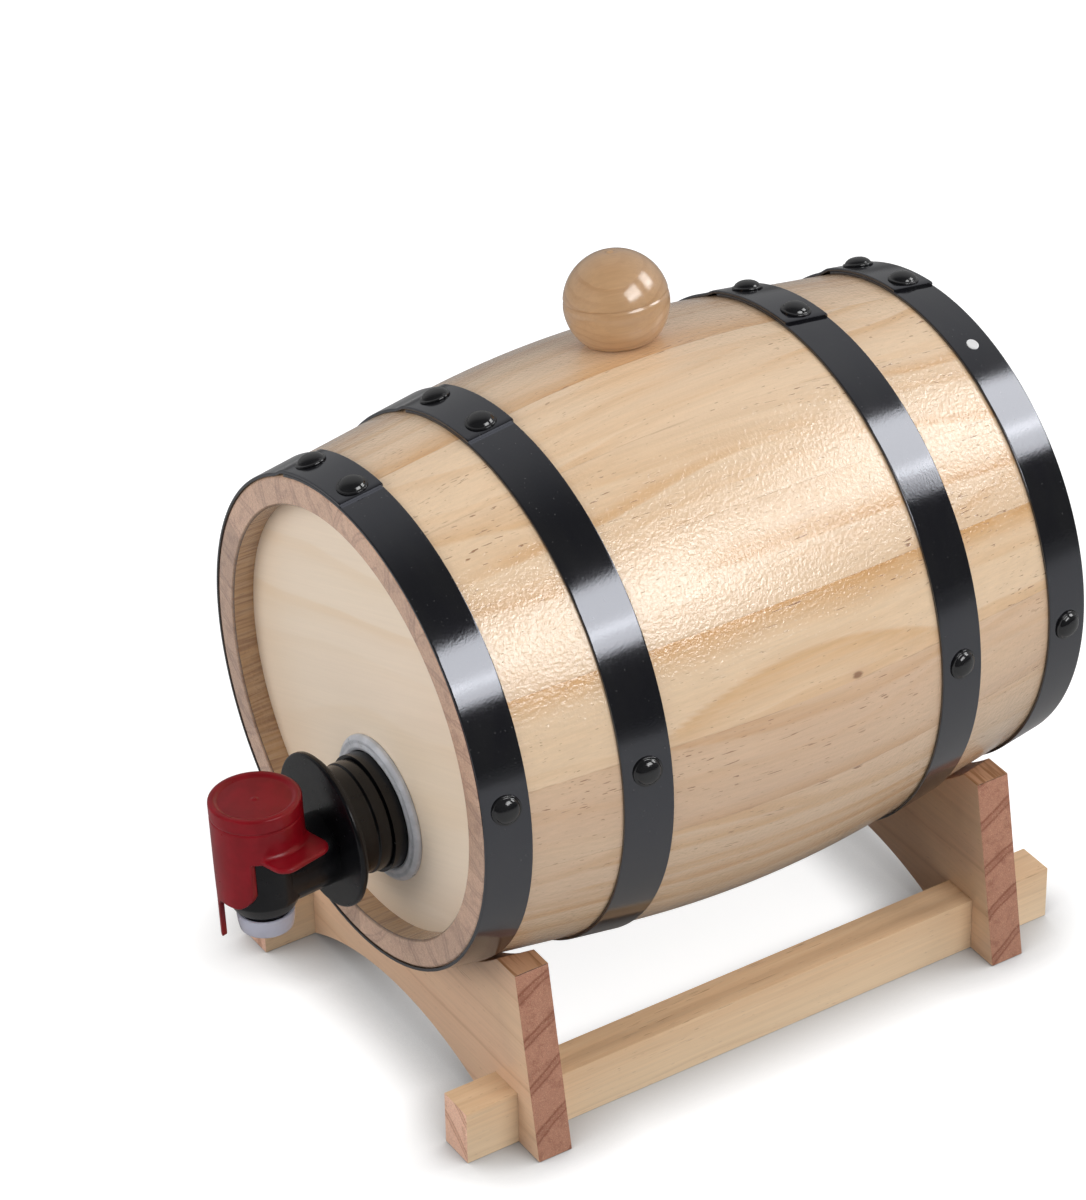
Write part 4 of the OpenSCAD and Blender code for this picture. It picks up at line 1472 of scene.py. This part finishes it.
@dataclass
class Bung:
    """The turned knob with its cork and dowel."""

    shape: CaskShape
    knob_r: float = 16.5
    foot_r: float = 11.3
    groove_rise: float = 2.2
    groove_depth: float = 0.5
    back: float = 3.0

    def knob_profile(self) -> list[Point]:
        """Side view of the knob, from its foot to the nub on top."""
        rise = math.sqrt(self.knob_r ** 2 - self.foot_r ** 2)
        start = math.asin(-rise / self.knob_r)
        points: list[Point] = [
            (0.0, 0.0), (self.foot_r - 0.2, 0.0), (self.foot_r + 0.15, 0.2), (self.foot_r + 0.35, 0.9),
            (self.foot_r + 0.45, 1.3)]
        steps = 90
        for i in range(4, steps):
            a = start + (math.pi / 2 - start) * i / steps
            z = rise + self.knob_r * math.sin(a)
            r = self.knob_r * math.cos(a)
            off = (z - rise - self.groove_rise) / 0.42
            r -= self.groove_depth * math.exp(-off * off) + 0.10 * math.exp(-((off + 2.6) / 1.3) ** 2)
            if r < 2.4:
                z -= 0.30 * math.exp(-((r - 1.55) / 0.30) ** 2)
            if r < 1.25:
                z += 0.30 * (1 - (r / 1.25) ** 4)
            if r < 0.25:
                break
            points.append((r, z))
        points.append((0.0, points[-1][1] + 0.01))
        return points

    def build(self, finishes: Finishes) -> None:
        """Makes the knob and dresses the pieces under it.

        Args:
            finishes: the object's finishes.
        """
        s = self.shape
        mesh = lathe(self.knob_profile(), "knob", 128, closed=False)
        seat = s.radial(0, self.back, s.bilge_r + 0.05)
        mesh.transform(seat)
        piece = link(mesh, "turned_bung_knob")
        out = seat.to_3x3() @ Vector((0, 0, 1))
        side = seat.to_3x3() @ Vector((0.55, 0.83, 0.05))
        Board(side, out, (6.0, 40.0, 22.0), lean=0.1, tone=0.0).grain_mesh(mesh, seat.translation)
        float_attribute(mesh, "end", [0.25 * abs(p.normal.dot(side.normalized())) for p in mesh.polygons], "FACE")
        float_attribute(mesh, "seam", [0.0] * len(mesh.vertices))
        smooth(mesh, 60)
        finish_piece(piece, finishes.knob, "bung", ["bung_knob"])
        dress_node("bung_cork", finishes.cork)
        dress_node("bung_dowel", finishes.white)


# ---------------------------------------------------------------- tap


@dataclass
class Tap:
    """The bag-in-box tap: black body, red collar, whitish cap, grey seal and the valve inside."""

    shape: CaskShape
    drop: float = 31.0
    turn: float = 8.0
    valve_out: float = 35.6
    collar_turn: float = 13.0
    flange_r: float = 25.0
    flange_out: float = 11.5
    flange_t: float = 3.0
    neck_r: float = 17.9
    gland_r: float = 19.0
    housing_r: float = 12.3
    tube_r: float = 11.5
    tube_drop: float = 6.0
    tube_slope: float = 1.5
    bore_drop: float = 3.0
    collar_r: float = 14.4
    collar_top: float = 21.0
    collar_h: float = 15.7
    skirt_h: float = 17.3
    tab_l: float = 14.5
    chamber_r: float = 8.0
    throat_r: float = 9.5
    port_r: float = 5.4
    bore_r: float = 6.5
    wing_reach: float = 21.8
    wing_y: float = 1.0
    wing_half: float = 10.25
    wing_bore_r: float = 12.9
    voxel: float = 0.00027

    def matrix(self) -> Matrix:
        """Moves the tap's frame, with its inlet along Y, to the row frame."""
        spot = Matrix.Translation(Vector((0, -self.shape.length / 2, -self.drop)) * MM)
        return self.shape.matrix() @ spot @ Matrix.Rotation(math.radians(self.turn), 4, "Y")

    def valve(self) -> Matrix:
        """Moves a frame on the valve's axis to the row frame."""
        return self.matrix() @ Matrix.Translation(Vector((0, -self.valve_out, 0)) * MM)

    @staticmethod
    def inlet_lathe(profile: Sequence[Point], name: str, sides: int) -> bpy.types.Mesh:
        """Turns a profile of (radius, place along the inlet) points about the inlet."""
        return place(lathe(profile, name, sides), Matrix.Rotation(math.radians(-90), 4, "X"))

    def body(self, finishes: Finishes) -> None:
        """Makes the black body with its waterway.

        Args:
            finishes: the object's finishes.
        """
        f0, f1 = -self.flange_out, -self.flange_out - self.flange_t
        neck = rounded([
            (0, 16.7, 0), (14.42, 16.7, 0.8), (14.42, 0.8, 0), (self.neck_r, 0.8, 0.4), (self.neck_r, -3.4, 0.5),
            (self.neck_r - 0.5, -3.9, 0.5), (self.neck_r - 0.5, f0 + 0.2, 0.9), (self.flange_r - 1.1, f0, 0.5),
            (self.flange_r - 1.0, f0 - 0.8, 0.2), (self.flange_r, f0 - 0.9, 0.5), (self.flange_r, f1, 1.0),
            (self.tube_r + 3.5, f1, 0), (0, f1, 0)], 5)
        piece = link(self.inlet_lathe(neck, "neck", 160), "black_tap_body")
        run = self.valve_out - self.flange_out - 1.5
        tilt = math.atan(self.tube_slope / run)
        tube = [(0, 0), (self.tube_r, 0), (self.tube_r, run / math.cos(tilt)), (0, run / math.cos(tilt))]
        along = Matrix.Translation(Vector((0, -self.valve_out, -self.tube_drop - self.tube_slope)) * MM)
        along = along @ Matrix.Rotation(tilt, 4, "X")
        combine(piece, place(self.inlet_lathe(tube, "tube", 120), along), "UNION")
        top = self.collar_top - 6.4
        housing = rounded([
            (0, -22.2, 0), (7.1, -22.2, 0.3), (7.35, -21.4, 0.4), (7.35, -17.7, 0.2), (9.7, -17.6, 0.7),
            (self.housing_r, -13.0, 1.8), (self.housing_r, top, 0.5), (0, top, 0)], 5)
        stand = Matrix.Translation(Vector((0, -self.valve_out, 0)) * MM)
        combine(piece, place(lathe(housing, "housing", 128), stand), "UNION")
        hollow = rounded([
            (0, -14.6, 0), (self.chamber_r, -14.6, 0.4), (self.chamber_r, 9.0, 0), (self.throat_r, 9.0, 0),
            (self.throat_r, 30.0, 0), (0, 30.0, 0)])
        combine(piece, place(lathe(hollow, "chamber", 96), stand), "DIFFERENCE")
        port = lathe([(0, -40), (self.port_r, -40), (self.port_r, -10), (0, -10)], "port", 64)
        combine(piece, place(port, stand), "DIFFERENCE")
        way = [(0, -self.valve_out), (self.bore_r, -self.valve_out), (self.bore_r, 30), (0, 30)]
        bore = self.inlet_lathe(way, "bore", 64)
        combine(piece, place(bore, Matrix.Translation((0, 0, -self.bore_drop * MM))), "DIFFERENCE")
        tidy_mesh(piece.data, 2e-6)
        piece.data.transform(self.matrix())
        smooth(piece.data, 32)
        finish_piece(piece, finishes.black, "tap", ["tap_body"])

    def collar(self, finishes: Finishes) -> None:
        """Makes the red collar: cap, wing, skirt and pull tab, melted together.

        Args:
            finishes: the object's finishes.
        """
        top, low, r = self.collar_top, self.collar_top - self.collar_h, self.collar_r
        outline = [
            (12.6, low - 0.2, 0.2), (r, low - 0.2, 0.2), (r, top - 5.4, 0.2), (r - 0.45, top - 5.05, 0.2),
            (r, top - 4.7, 0.2), (r, top, 0.9), (r - 1.9, top, 0.8), (r - 2.8, top - 0.75, 0.8), (4.0, top - 0.95, 0),
            (0, top - 1.0, 0), (0, top - 2.1, 0), (2.2, top - 2.1, 0), (2.28, top - 5.0, 0), (4.6, top - 5.0, 0.3),
            (4.6, top - 2.1, 0.5), (12.6, top - 2.1, 0.6)]
        piece = link(lathe(rounded(outline, 6), "cap", 160), "red_tap_collar")
        gate = [(0, top - 1.4), (0.8, top - 1.4), (0.8, top - 0.75), (0.45, top - 0.55), (0, top - 0.8)]
        combine(piece, lathe(gate, "gate", 24), "UNION")
        combine(piece, self.wing(low), "UNION")
        combine(piece, self.skirt(low), "UNION")
        remesh = piece.modifiers.new("melt", "REMESH")
        remesh.mode = "VOXEL"
        remesh.voxel_size = self.voxel
        soften = piece.modifiers.new("soften", "SMOOTH")
        soften.factor, soften.iterations = 0.5, 5
        thin = piece.modifiers.new("thin", "DECIMATE")
        thin.ratio = 0.6
        apply_modifiers(piece)
        piece.data.transform(self.valve() @ Matrix.Rotation(math.radians(self.collar_turn), 4, "Z"))
        smooth(piece.data, 60)
        finish_piece(piece, finishes.red, "collar", ["tap_collar"])

    def wing(self, low: float) -> bpy.types.Mesh:
        """Makes the wing as a thick plate with a hole for the housing.

        Args:
            low: height of the wing's underside.

        Returns:
            The mesh.
        """
        reach, middle, half_y, corner = self.wing_reach, self.wing_y, self.wing_half, 4.5
        outline: list[Point] = [(0.0, middle + half_y), (0.0, middle - half_y)]
        for side in (-1, 1):
            for d in range(0, 91, 10):
                a = math.radians(d if side > 0 else 270 + d)
                outline.append((
                    reach - corner + corner * math.cos(a), middle + side * (half_y - corner) + corner * math.sin(a)))
        count = len(outline)
        # Heights in the plate, each with the share of the outline that it has
        levels = ((0.0, 0.965), (0.3, 0.995), (0.6, 1.0), (1.4, 1.0), (1.8, 0.975))
        points = []
        for rise, share in levels:
            for x, y in outline:
                reach_out = max(0.0, x - self.collar_r) / (reach - self.collar_r)
                lift = 0.0 if rise < 0.5 else 0.12 * reach_out
                points.append((x * share * MM, (middle + (y - middle) * share) * MM, (low + rise + lift) * MM))
        faces: list[Sequence[int]] = []
        for k in range(len(levels) - 1):
            for i in range(count):
                j = (i + 1) % count
                faces.append((k * count + i, k * count + j, (k + 1) * count + j, (k + 1) * count + i))
        faces += [tuple(range(count)), tuple(range((len(levels) - 1) * count, len(levels) * count))]
        plate = link(mesh_from(points, faces, "wing"), "plate")
        r, bore_r = self.collar_r, self.wing_bore_r
        bore = lathe([(0, low - 2), (bore_r, low - 2), (bore_r, low + 4), (0, low + 4)], "bore", 96)
        combine(plate, bore, "DIFFERENCE")
        # A fillet where the wall of the cap meets the wing
        slope = [
            (bore_r, low + 0.8), (r + 1.5, low + 1.6), (r + 0.7, low + 2.1), (r + 0.2, low + 2.7), (bore_r, low + 3.4)]
        fillet = link(lathe(slope, "fillet", 128), "fillet")
        part = box((2, middle - half_y + 0.6, low), (20, middle + half_y - 0.6, low + 5), "part")
        combine(fillet, part, "INTERSECT")
        combine(plate, fillet.data.copy(), "UNION")
        mesh = plate.data.copy()
        bpy.data.objects.remove(plate)
        bpy.data.objects.remove(fillet)
        return mesh

    def skirt(self, low: float) -> bpy.types.Mesh:
        """Makes the skirt and pull tab, bent round the housing.

        Args:
            low: height of the collar's lower edge.

        Returns:
            The mesh.
        """
        bottom = low - self.skirt_h
        tab_end = bottom - self.tab_l
        rows = []
        start, step = low + 1.5, 0.5
        heights = [start - i * step for i in range(int((start - tab_end) / step) + 1)]
        steps, corner = 26, 7
        for z in heights:
            if z >= bottom:
                # The skirt, with a slanted left edge and a large round corner at its lower right
                left = -10.2 + 2.6 * unit((low - z) / self.skirt_h)
                right = 8.6
                if z < bottom + corner:
                    right = 1.6 + math.sqrt(max(0.0, corner ** 2 - (bottom + corner - z) ** 2))
            else:
                # The pull tab, with a small fillet at its root and a round tip
                left, right = -7.6, -5.6
                blend = max(0.0, 1 - (bottom - z) / 2.2)
                right += 1.6 * blend * blend
                near = z - tab_end
                if near < 1.0:
                    tip = 1 - math.sqrt(max(0.0, 1 - (1 - near) ** 2))
                    left, right = left + tip * 0.95, right - tip * 0.95
            row = []
            for r, order in ((self.collar_r, range(steps + 1)), (self.collar_r - 1.8, range(steps, -1, -1))):
                for i in order:
                    x = left + (right - left) * i / steps
                    y = -math.sqrt(r * r - x * x) if abs(x) < r else 0.0
                    row.append((x * MM, y * MM, z * MM))
            rows.append(row)
        return sweep(rows, "skirt")

    def cap_and_seal(self, finishes: Finishes) -> None:
        """Makes the cap under the spout and the seal round the gland.

        Args:
            finishes: the object's finishes.
        """
        top = -19.5
        profile = rounded([
            (0, top - 6.2, 0), (8.3, top - 6.2, 0.9), (8.8, top - 3.2, 0.4), (9.0, top - 0.3, 0.3), (8.5, top, 0.3),
            (7.75, top - 0.2, 0.3), (7.65, top - 4.8, 0.3), (5.0, top - 4.9, 0.3), (4.9, top + 3.0, 0.4),
            (3.7, top + 3.0, 0.4), (3.7, top - 4.6, 0.3), (0, top - 4.6, 0)], 4)
        piece = link(place(lathe(profile, "cap", 112), self.valve()), "clear_spout_cap")
        smooth(piece.data, 45)
        finish_piece(piece, finishes.cap, "cap", ["spout_cap"])
        inner, outer = self.gland_r + 0.06, self.gland_r + 4.84
        back = self.shape.recess - 0.06
        ring = rounded([(inner, back, 0.2), (inner, back - 2.2, 0.5), (inner + 1.1, back - 2.55, 0.6),
                        (inner + 2.2, back - 2.1, 0.5), (inner + 3.4, back - 2.3, 0.8), (outer, back - 1.3, 0.9),
                        (outer, back, 0.3)], 5)
        seal = link(self.inlet_lathe(ring, "seal", 180), "grey_sealing_ring")
        # The soft ring is not quite flat
        for v in seal.data.vertices:
            x, y, z = v.co / MM
            a = math.atan2(z, x)
            wave = 0.16 * math.sin(3 * a + 0.7) + 0.10 * math.sin(7 * a + 2.0) + 0.05 * math.sin(13 * a)
            if y < back - 1.0:
                v.co.y += (0.5 * wave + 0.05) * MM
        seal.data.transform(self.matrix())
        smooth(seal.data, 50)
        finish_piece(seal, finishes.seal, "cask", ["sealing_ring"])

    def build(self, finishes: Finishes) -> None:
        """Makes every piece of the tap.

        Args:
            finishes: the object's finishes.
        """
        self.body(finishes)
        self.collar(finishes)
        self.cap_and_seal(finishes)
        dress_node("bag_gland", finishes.black)
        dress_node("liner_bag", finishes.film)
        dress_node("tap_stem", finishes.white)
        dress_node("tap_diaphragm", finishes.soft)
        dress_node("valve_seal", finishes.soft)


# ---------------------------------------------------------------- stand


@dataclass
class Stand:
    """The cradle boards, rails and screws of the stand."""

    middle_y: float = 23.5
    board_y: float = 86.9
    rail_x: float = 62.4
    rail_h: float = 19.2
    tip_h: float = 65.2
    bevel: float = 0.55

    # The tips of the cradle boards: late wood, and broken dark and a darker tone that are painted shade
    TIP_STREAK, TIP_SEAM, TIP_TONE = 1.3, 3.0, -2.5
    # The warm top of a rail: how strong it is, and its depth, wavering and fading, in millimetres
    WARM_STREAK, WARM_DEPTH, WARM_WAVER, WARM_FADE = 0.50, 3.6, 0.9, 0.8

    def wooden(self, node: str, name: str, board: Board, origin: Sequence[float], finishes: Finishes) -> None:
        """Makes one wooden piece from its CAD node, with eased edges.

        Args:
            node: the CAD node.
            name: the piece's name.
            board: how it was sawn.
            origin: the middle of the board, in millimetres.
            finishes: the object's finishes.
        """
        piece = node_copy(node, name)
        ease = piece.modifiers.new("ease", "BEVEL")
        ease.width = self.bevel * MM
        ease.segments = 3
        ease.limit_method = "ANGLE"
        ease.angle_limit = math.radians(32)
        apply_modifiers(piece)
        smooth(piece.data, 28)
        board.grain_mesh(piece.data, Vector(origin) * MM)
        cradle = node.endswith("cradle")
        finish_piece(piece, finishes.stand if cradle else finishes.rail, "stand", [node])
        if cradle:
            # The tips of the boards carry late wood, and a darker tone and broken dark as painted shade
            tips = [1.0 * (f.center.z / MM > self.tip_h - 1 and f.normal.z > 0.4) for f in piece.data.polygons]
            float_attribute(piece.data, "streak", [self.TIP_STREAK * tip for tip in tips], "FACE")
            float_attribute(piece.data, "seam", [self.TIP_SEAM * tip for tip in tips], "FACE")
            float_attribute(piece.data, "tone", [self.TIP_TONE if tip else board.tone for tip in tips], "FACE")
        else:
            # The top of a rail is warmer wood, down to a wavering line just below its edge
            below = [
                self.rail_h - v.co.z / MM - self.WARM_DEPTH - self.WARM_WAVER * noise.noise(v.co * 14)
                for v in piece.data.vertices]
            streak = [self.WARM_STREAK * unit(0.5 - d / self.WARM_FADE) for d in below]
            float_attribute(piece.data, "streak", streak)

    def build(self, finishes: Finishes) -> None:
        """Makes the boards and rails.

        Args:
            finishes: the object's finishes.
        """
        x_axis, y_axis = Vector((1, 0, 0)), Vector((0, 1, 0))
        for node, end, shift, lean, tone in (
            ("front_cradle", -1, (10.0, 200.0, 150.0), 0.02, 0.1),
            ("rear_cradle", 1, (14.0, 900.0, 156.0), -0.02, 0.1),
        ):
            board = Board(x_axis, Vector((0, -0.46, 0.89)), shift, lean, tone, blush=0.5)
            self.wooden(node, f"pine_{node}", board, (0, self.middle_y + end * self.board_y, 30), finishes)
        for node, side, shift, tone in (
            ("left_rail", -1, (20.0, 1500.0, 60.0), 0.8),
            ("right_rail", 1, (-12.0, 2500.0, 70.0), 1.2),
        ):
            board = Board(y_axis, Vector((0.8, 0, 0.6)), shift, 0.01, tone, blush=0.1)
            self.wooden(node, f"pine_{node}", board, (side * self.rail_x, self.middle_y, self.rail_h / 2), finishes)
        dress_node("rail_screws", finishes.screw)


# ---------------------------------------------------------------- camera, light and floor


@dataclass(frozen=True)
class Panel:
    """A lamp panel that faces the object.

    Attributes:
        name: its name.
        towards: direction from the object to the panel.
        long_side: direction of its long side.
        size: its long and short side, in metres.
        power: its power, in watts.
        far: distance from the object, in metres.
        along: how far it is moved along its long side, in metres.
        above: how far it is moved across its long side, in metres.
        mirrored: True where glossy surfaces show it.
    """

    name: str
    towards: Triple
    long_side: Triple
    size: tuple[float, float]
    power: float
    far: float = 1.3
    along: float = 0.0
    above: float = 0.0
    mirrored: bool = True

    def light(self, middle: Triple) -> None:
        """Adds the lamp.

        Args:
            middle: the place that it faces, in metres.
        """
        data = bpy.data.lights.new(self.name, "AREA")
        data.shape = "RECTANGLE"
        data.size, data.size_y = self.size
        data.energy = self.power
        lamp = bpy.data.objects.new(self.name, data)
        bpy.context.scene.collection.objects.link(lamp)
        back = Vector(self.towards).normalized()
        side = Vector(self.long_side)
        side = (side - back * side.dot(back)).normalized()
        turned = Matrix((side, back.cross(side), back)).transposed().to_4x4()
        shift = side * self.along + back.cross(side) * self.above
        lamp.matrix_world = Matrix.Translation(Vector(middle) + back * self.far + shift) @ turned
        lamp.visible_glossy = self.mirrored


@dataclass
class Studio:
    """Camera, lamps, world and floor.

    Attributes:
        place: where the camera stands, in metres.
        right: the direction to the right in its picture.
        back: the direction from the object to it.
        lens: its focal length, in millimetres.
        middle: the place that the lamps face, in metres.
    """

    place: Triple = (1.0532, -0.6698, 0.9945)
    right: Triple = (0.538, 0.843, -0.016)
    back: Triple = (0.700, -0.436, 0.566)
    lens: float = 146.59
    middle: Triple = (0.0, 0.02, 0.12)

    # Direction to the two wide panels, and of their long side
    KEY_WAY, KEY_SIDE = (0.536, 0.489, 0.689), (-0.60, 0.79, -0.09)
    # Name, width, power and shift of the wide panels, and their height
    WIDE_PANELS = (("key", 0.80, 7.7, -0.50), ("second", 0.62, 5.9, 0.62))
    WIDE_HEIGHT = 0.60
    # The tube inside a wide panel: its height, share of the power, distance and shift
    TUBE_HEIGHT, TUBE_SHARE, TUBE_FAR, TUBE_ABOVE = 0.06, 0.07, 1.29, -0.10
    # Panels that fill the shadows
    FILLS = (
        Panel("left_panel", (-0.25, -0.95, 0.32), (1.0, -0.2, 0.0), (1.4, 0.9), 10.4, mirrored=False),
        Panel("top_panel", (0.1, 0.0, 1.0), (1.0, 0.0, 0.0), (1.2, 1.2), 1.2, mirrored=False),
        Panel("right_panel", (0.95, -0.15, 0.10), (0.0, 1.0, 0.0), (1.4, 0.5), 1.9, mirrored=False),
    )
    # Greys of the room: mirrored beyond the object, mirrored on the camera's side, and as light
    ROOM_BEYOND, ROOM_CAMERA, ROOM_LIGHT = 0.42, 0.05, 0.325
    # The floor: half its side and its drop in metres, and its own grey
    FLOOR_HALF, FLOOR_DROP, FLOOR_GREY = 6.0, 0.0002, 0.42
    # The shadow where something stands on it: its reach in metres, direction and hardness
    CONTACT_REACH, CONTACT_WAY, CONTACT_POWER = 0.026, (-0.784, 0.196, 0.588), 2.6
    # Its glow, which grows between two distances from the object
    GLOW_FROM, GLOW_TO, GLOW_NEAR, GLOW_FAR = 0.5, 1.4, 0.84, 1.0

    def camera(self) -> None:
        """Sets the camera where the photograph was taken from."""
        data = bpy.data.cameras.new("photo_camera")
        data.lens, data.sensor_width, data.sensor_fit = self.lens, 36.0, "AUTO"
        data.clip_start, data.clip_end = 0.05, 50.0
        data.dof.use_dof = False
        camera = bpy.data.objects.new("photo_camera", data)
        bpy.context.scene.collection.objects.link(camera)
        back = Vector(self.back).normalized()
        right = Vector(self.right)
        right = (right - back * right.dot(back)).normalized()
        up = back.cross(right)
        turned = Matrix((right, up, back)).transposed().to_4x4()
        camera.matrix_world = Matrix.Translation(Vector(self.place)) @ turned
        bpy.context.scene.camera = camera

    def lamps(self) -> None:
        """Adds the lamps that the highlights in the photograph show."""
        for name, wide, power, along in self.WIDE_PANELS:
            Panel(
                f"{name}_panel", self.KEY_WAY, self.KEY_SIDE, (wide, self.WIDE_HEIGHT), power, along=along,
            ).light(self.middle)
            # The tube inside the panel, a brighter line in the highlights
            Panel(
                f"{name}_tube", self.KEY_WAY, self.KEY_SIDE, (wide, self.TUBE_HEIGHT), power * self.TUBE_SHARE,
                self.TUBE_FAR, along, self.TUBE_ABOVE,
            ).light(self.middle)
        for panel in self.FILLS:
            panel.light(self.middle)

    def world(self) -> None:
        """Gives the surroundings: white to the camera, and a plain grey room that is darker on the camera's side."""
        world = bpy.data.worlds.new("studio")
        world.use_nodes = True
        bpy.context.scene.world = world
        tree = world.node_tree
        tree.nodes.clear()
        g = Graph(tree)
        ray = g.add("ShaderNodeLightPath").outputs
        way = g.vector("NORMALIZE", g.add("ShaderNodeTexCoord").outputs["Generated"])
        side = g.vector("DOT_PRODUCT", way, (0.85, -0.52, 0.0))
        seen = g.mix(g.remap(side, -0.75, 0.05), grey(self.ROOM_BEYOND), grey(self.ROOM_CAMERA))
        colour = g.mix(ray["Is Glossy Ray"], grey(self.ROOM_LIGHT), seen)
        clear = g.math("MAXIMUM", ray["Is Camera Ray"], ray["Is Transmission Ray"])
        colour = g.mix(clear, colour, grey(1.0))
        shader = g.add("ShaderNodeBackground", {"Color": colour, "Strength": 1.0})
        g.add("ShaderNodeOutputWorld", {"Surface": shader})

    def floor(self) -> None:
        """Adds a plain white floor that keeps the object's shadow."""
        half = self.FLOOR_HALF
        corners = [(-half, -half, 0), (half, -half, 0), (half, half, 0), (-half, half, 0)]
        mesh = mesh_from(corners, [(0, 1, 2, 3)], "floor")
        if mesh.polygons[0].normal.z < 0:
            mesh.flip_normals()
        mesh.transform(Matrix.Translation((0, 0, -self.FLOOR_DROP)))
        material, g, shader = new_material("white_floor")
        shader.inputs["Base Color"].default_value = (*grey(self.FLOOR_GREY), 1)
        shader.inputs["Roughness"].default_value = 0.5
        shader.inputs["Specular IOR Level"].default_value = 0.3
        ray = g.add("ShaderNodeLightPath").outputs
        shown = g.math("MAXIMUM", ray["Is Camera Ray"], ray["Is Transmission Ray"])
        shader.inputs["Emission Color"].default_value = (1, 1, 1, 1)
        contact = {"Distance": self.CONTACT_REACH, "Normal": self.CONTACT_WAY}
        near = g.add("ShaderNodeAmbientOcclusion", contact, samples=16)
        open_share = g.math("POWER", near.outputs["AO"], self.CONTACT_POWER)
        # Away from the object less lamp light reaches the floor, so it glows more there and meets the white world
        away = g.vector("LENGTH", g.add("ShaderNodeTexCoord").outputs["Object"])
        grown = g.remap(away, self.GLOW_FROM, self.GLOW_TO, self.GLOW_NEAR, self.GLOW_FAR)
        glow = g.math("MULTIPLY", shown, grown)
        g.feed(shader.inputs["Emission Strength"], g.math("MULTIPLY", glow, open_share))
        mesh.materials.append(material)
        link(mesh, "floor")

    def build(self) -> None:
        """Sets up the studio."""
        bpy.context.scene.view_settings.view_transform = "Standard"
        self.camera()
        self.lamps()
        self.world()
        self.floor()


def main() -> None:
    """Builds the studio and every piece of the object, in order."""
    logging.basicConfig(level=logging.INFO, format="%(message)s")
    Studio().build()
    finishes = Finishes()
    shape = CaskShape()
    wrap = WrapTree(shape)
    Staves(shape, wrap).build(finishes)
    rivets = RivetTree()
    for where, y, width, lap_turn, side_rivet in HOOPS:
        Hoop(where, y, width, lap_turn, side_rivet, shape, wrap).build(finishes, rivets)
    dress_node("rear_hoop_nail", finishes.nail)
    Heads(shape).build(finishes)
    Bung(shape).build(finishes)
    Tap(shape).build(finishes)
    Stand().build(finishes)


if __name__ == "__main__":
    main()
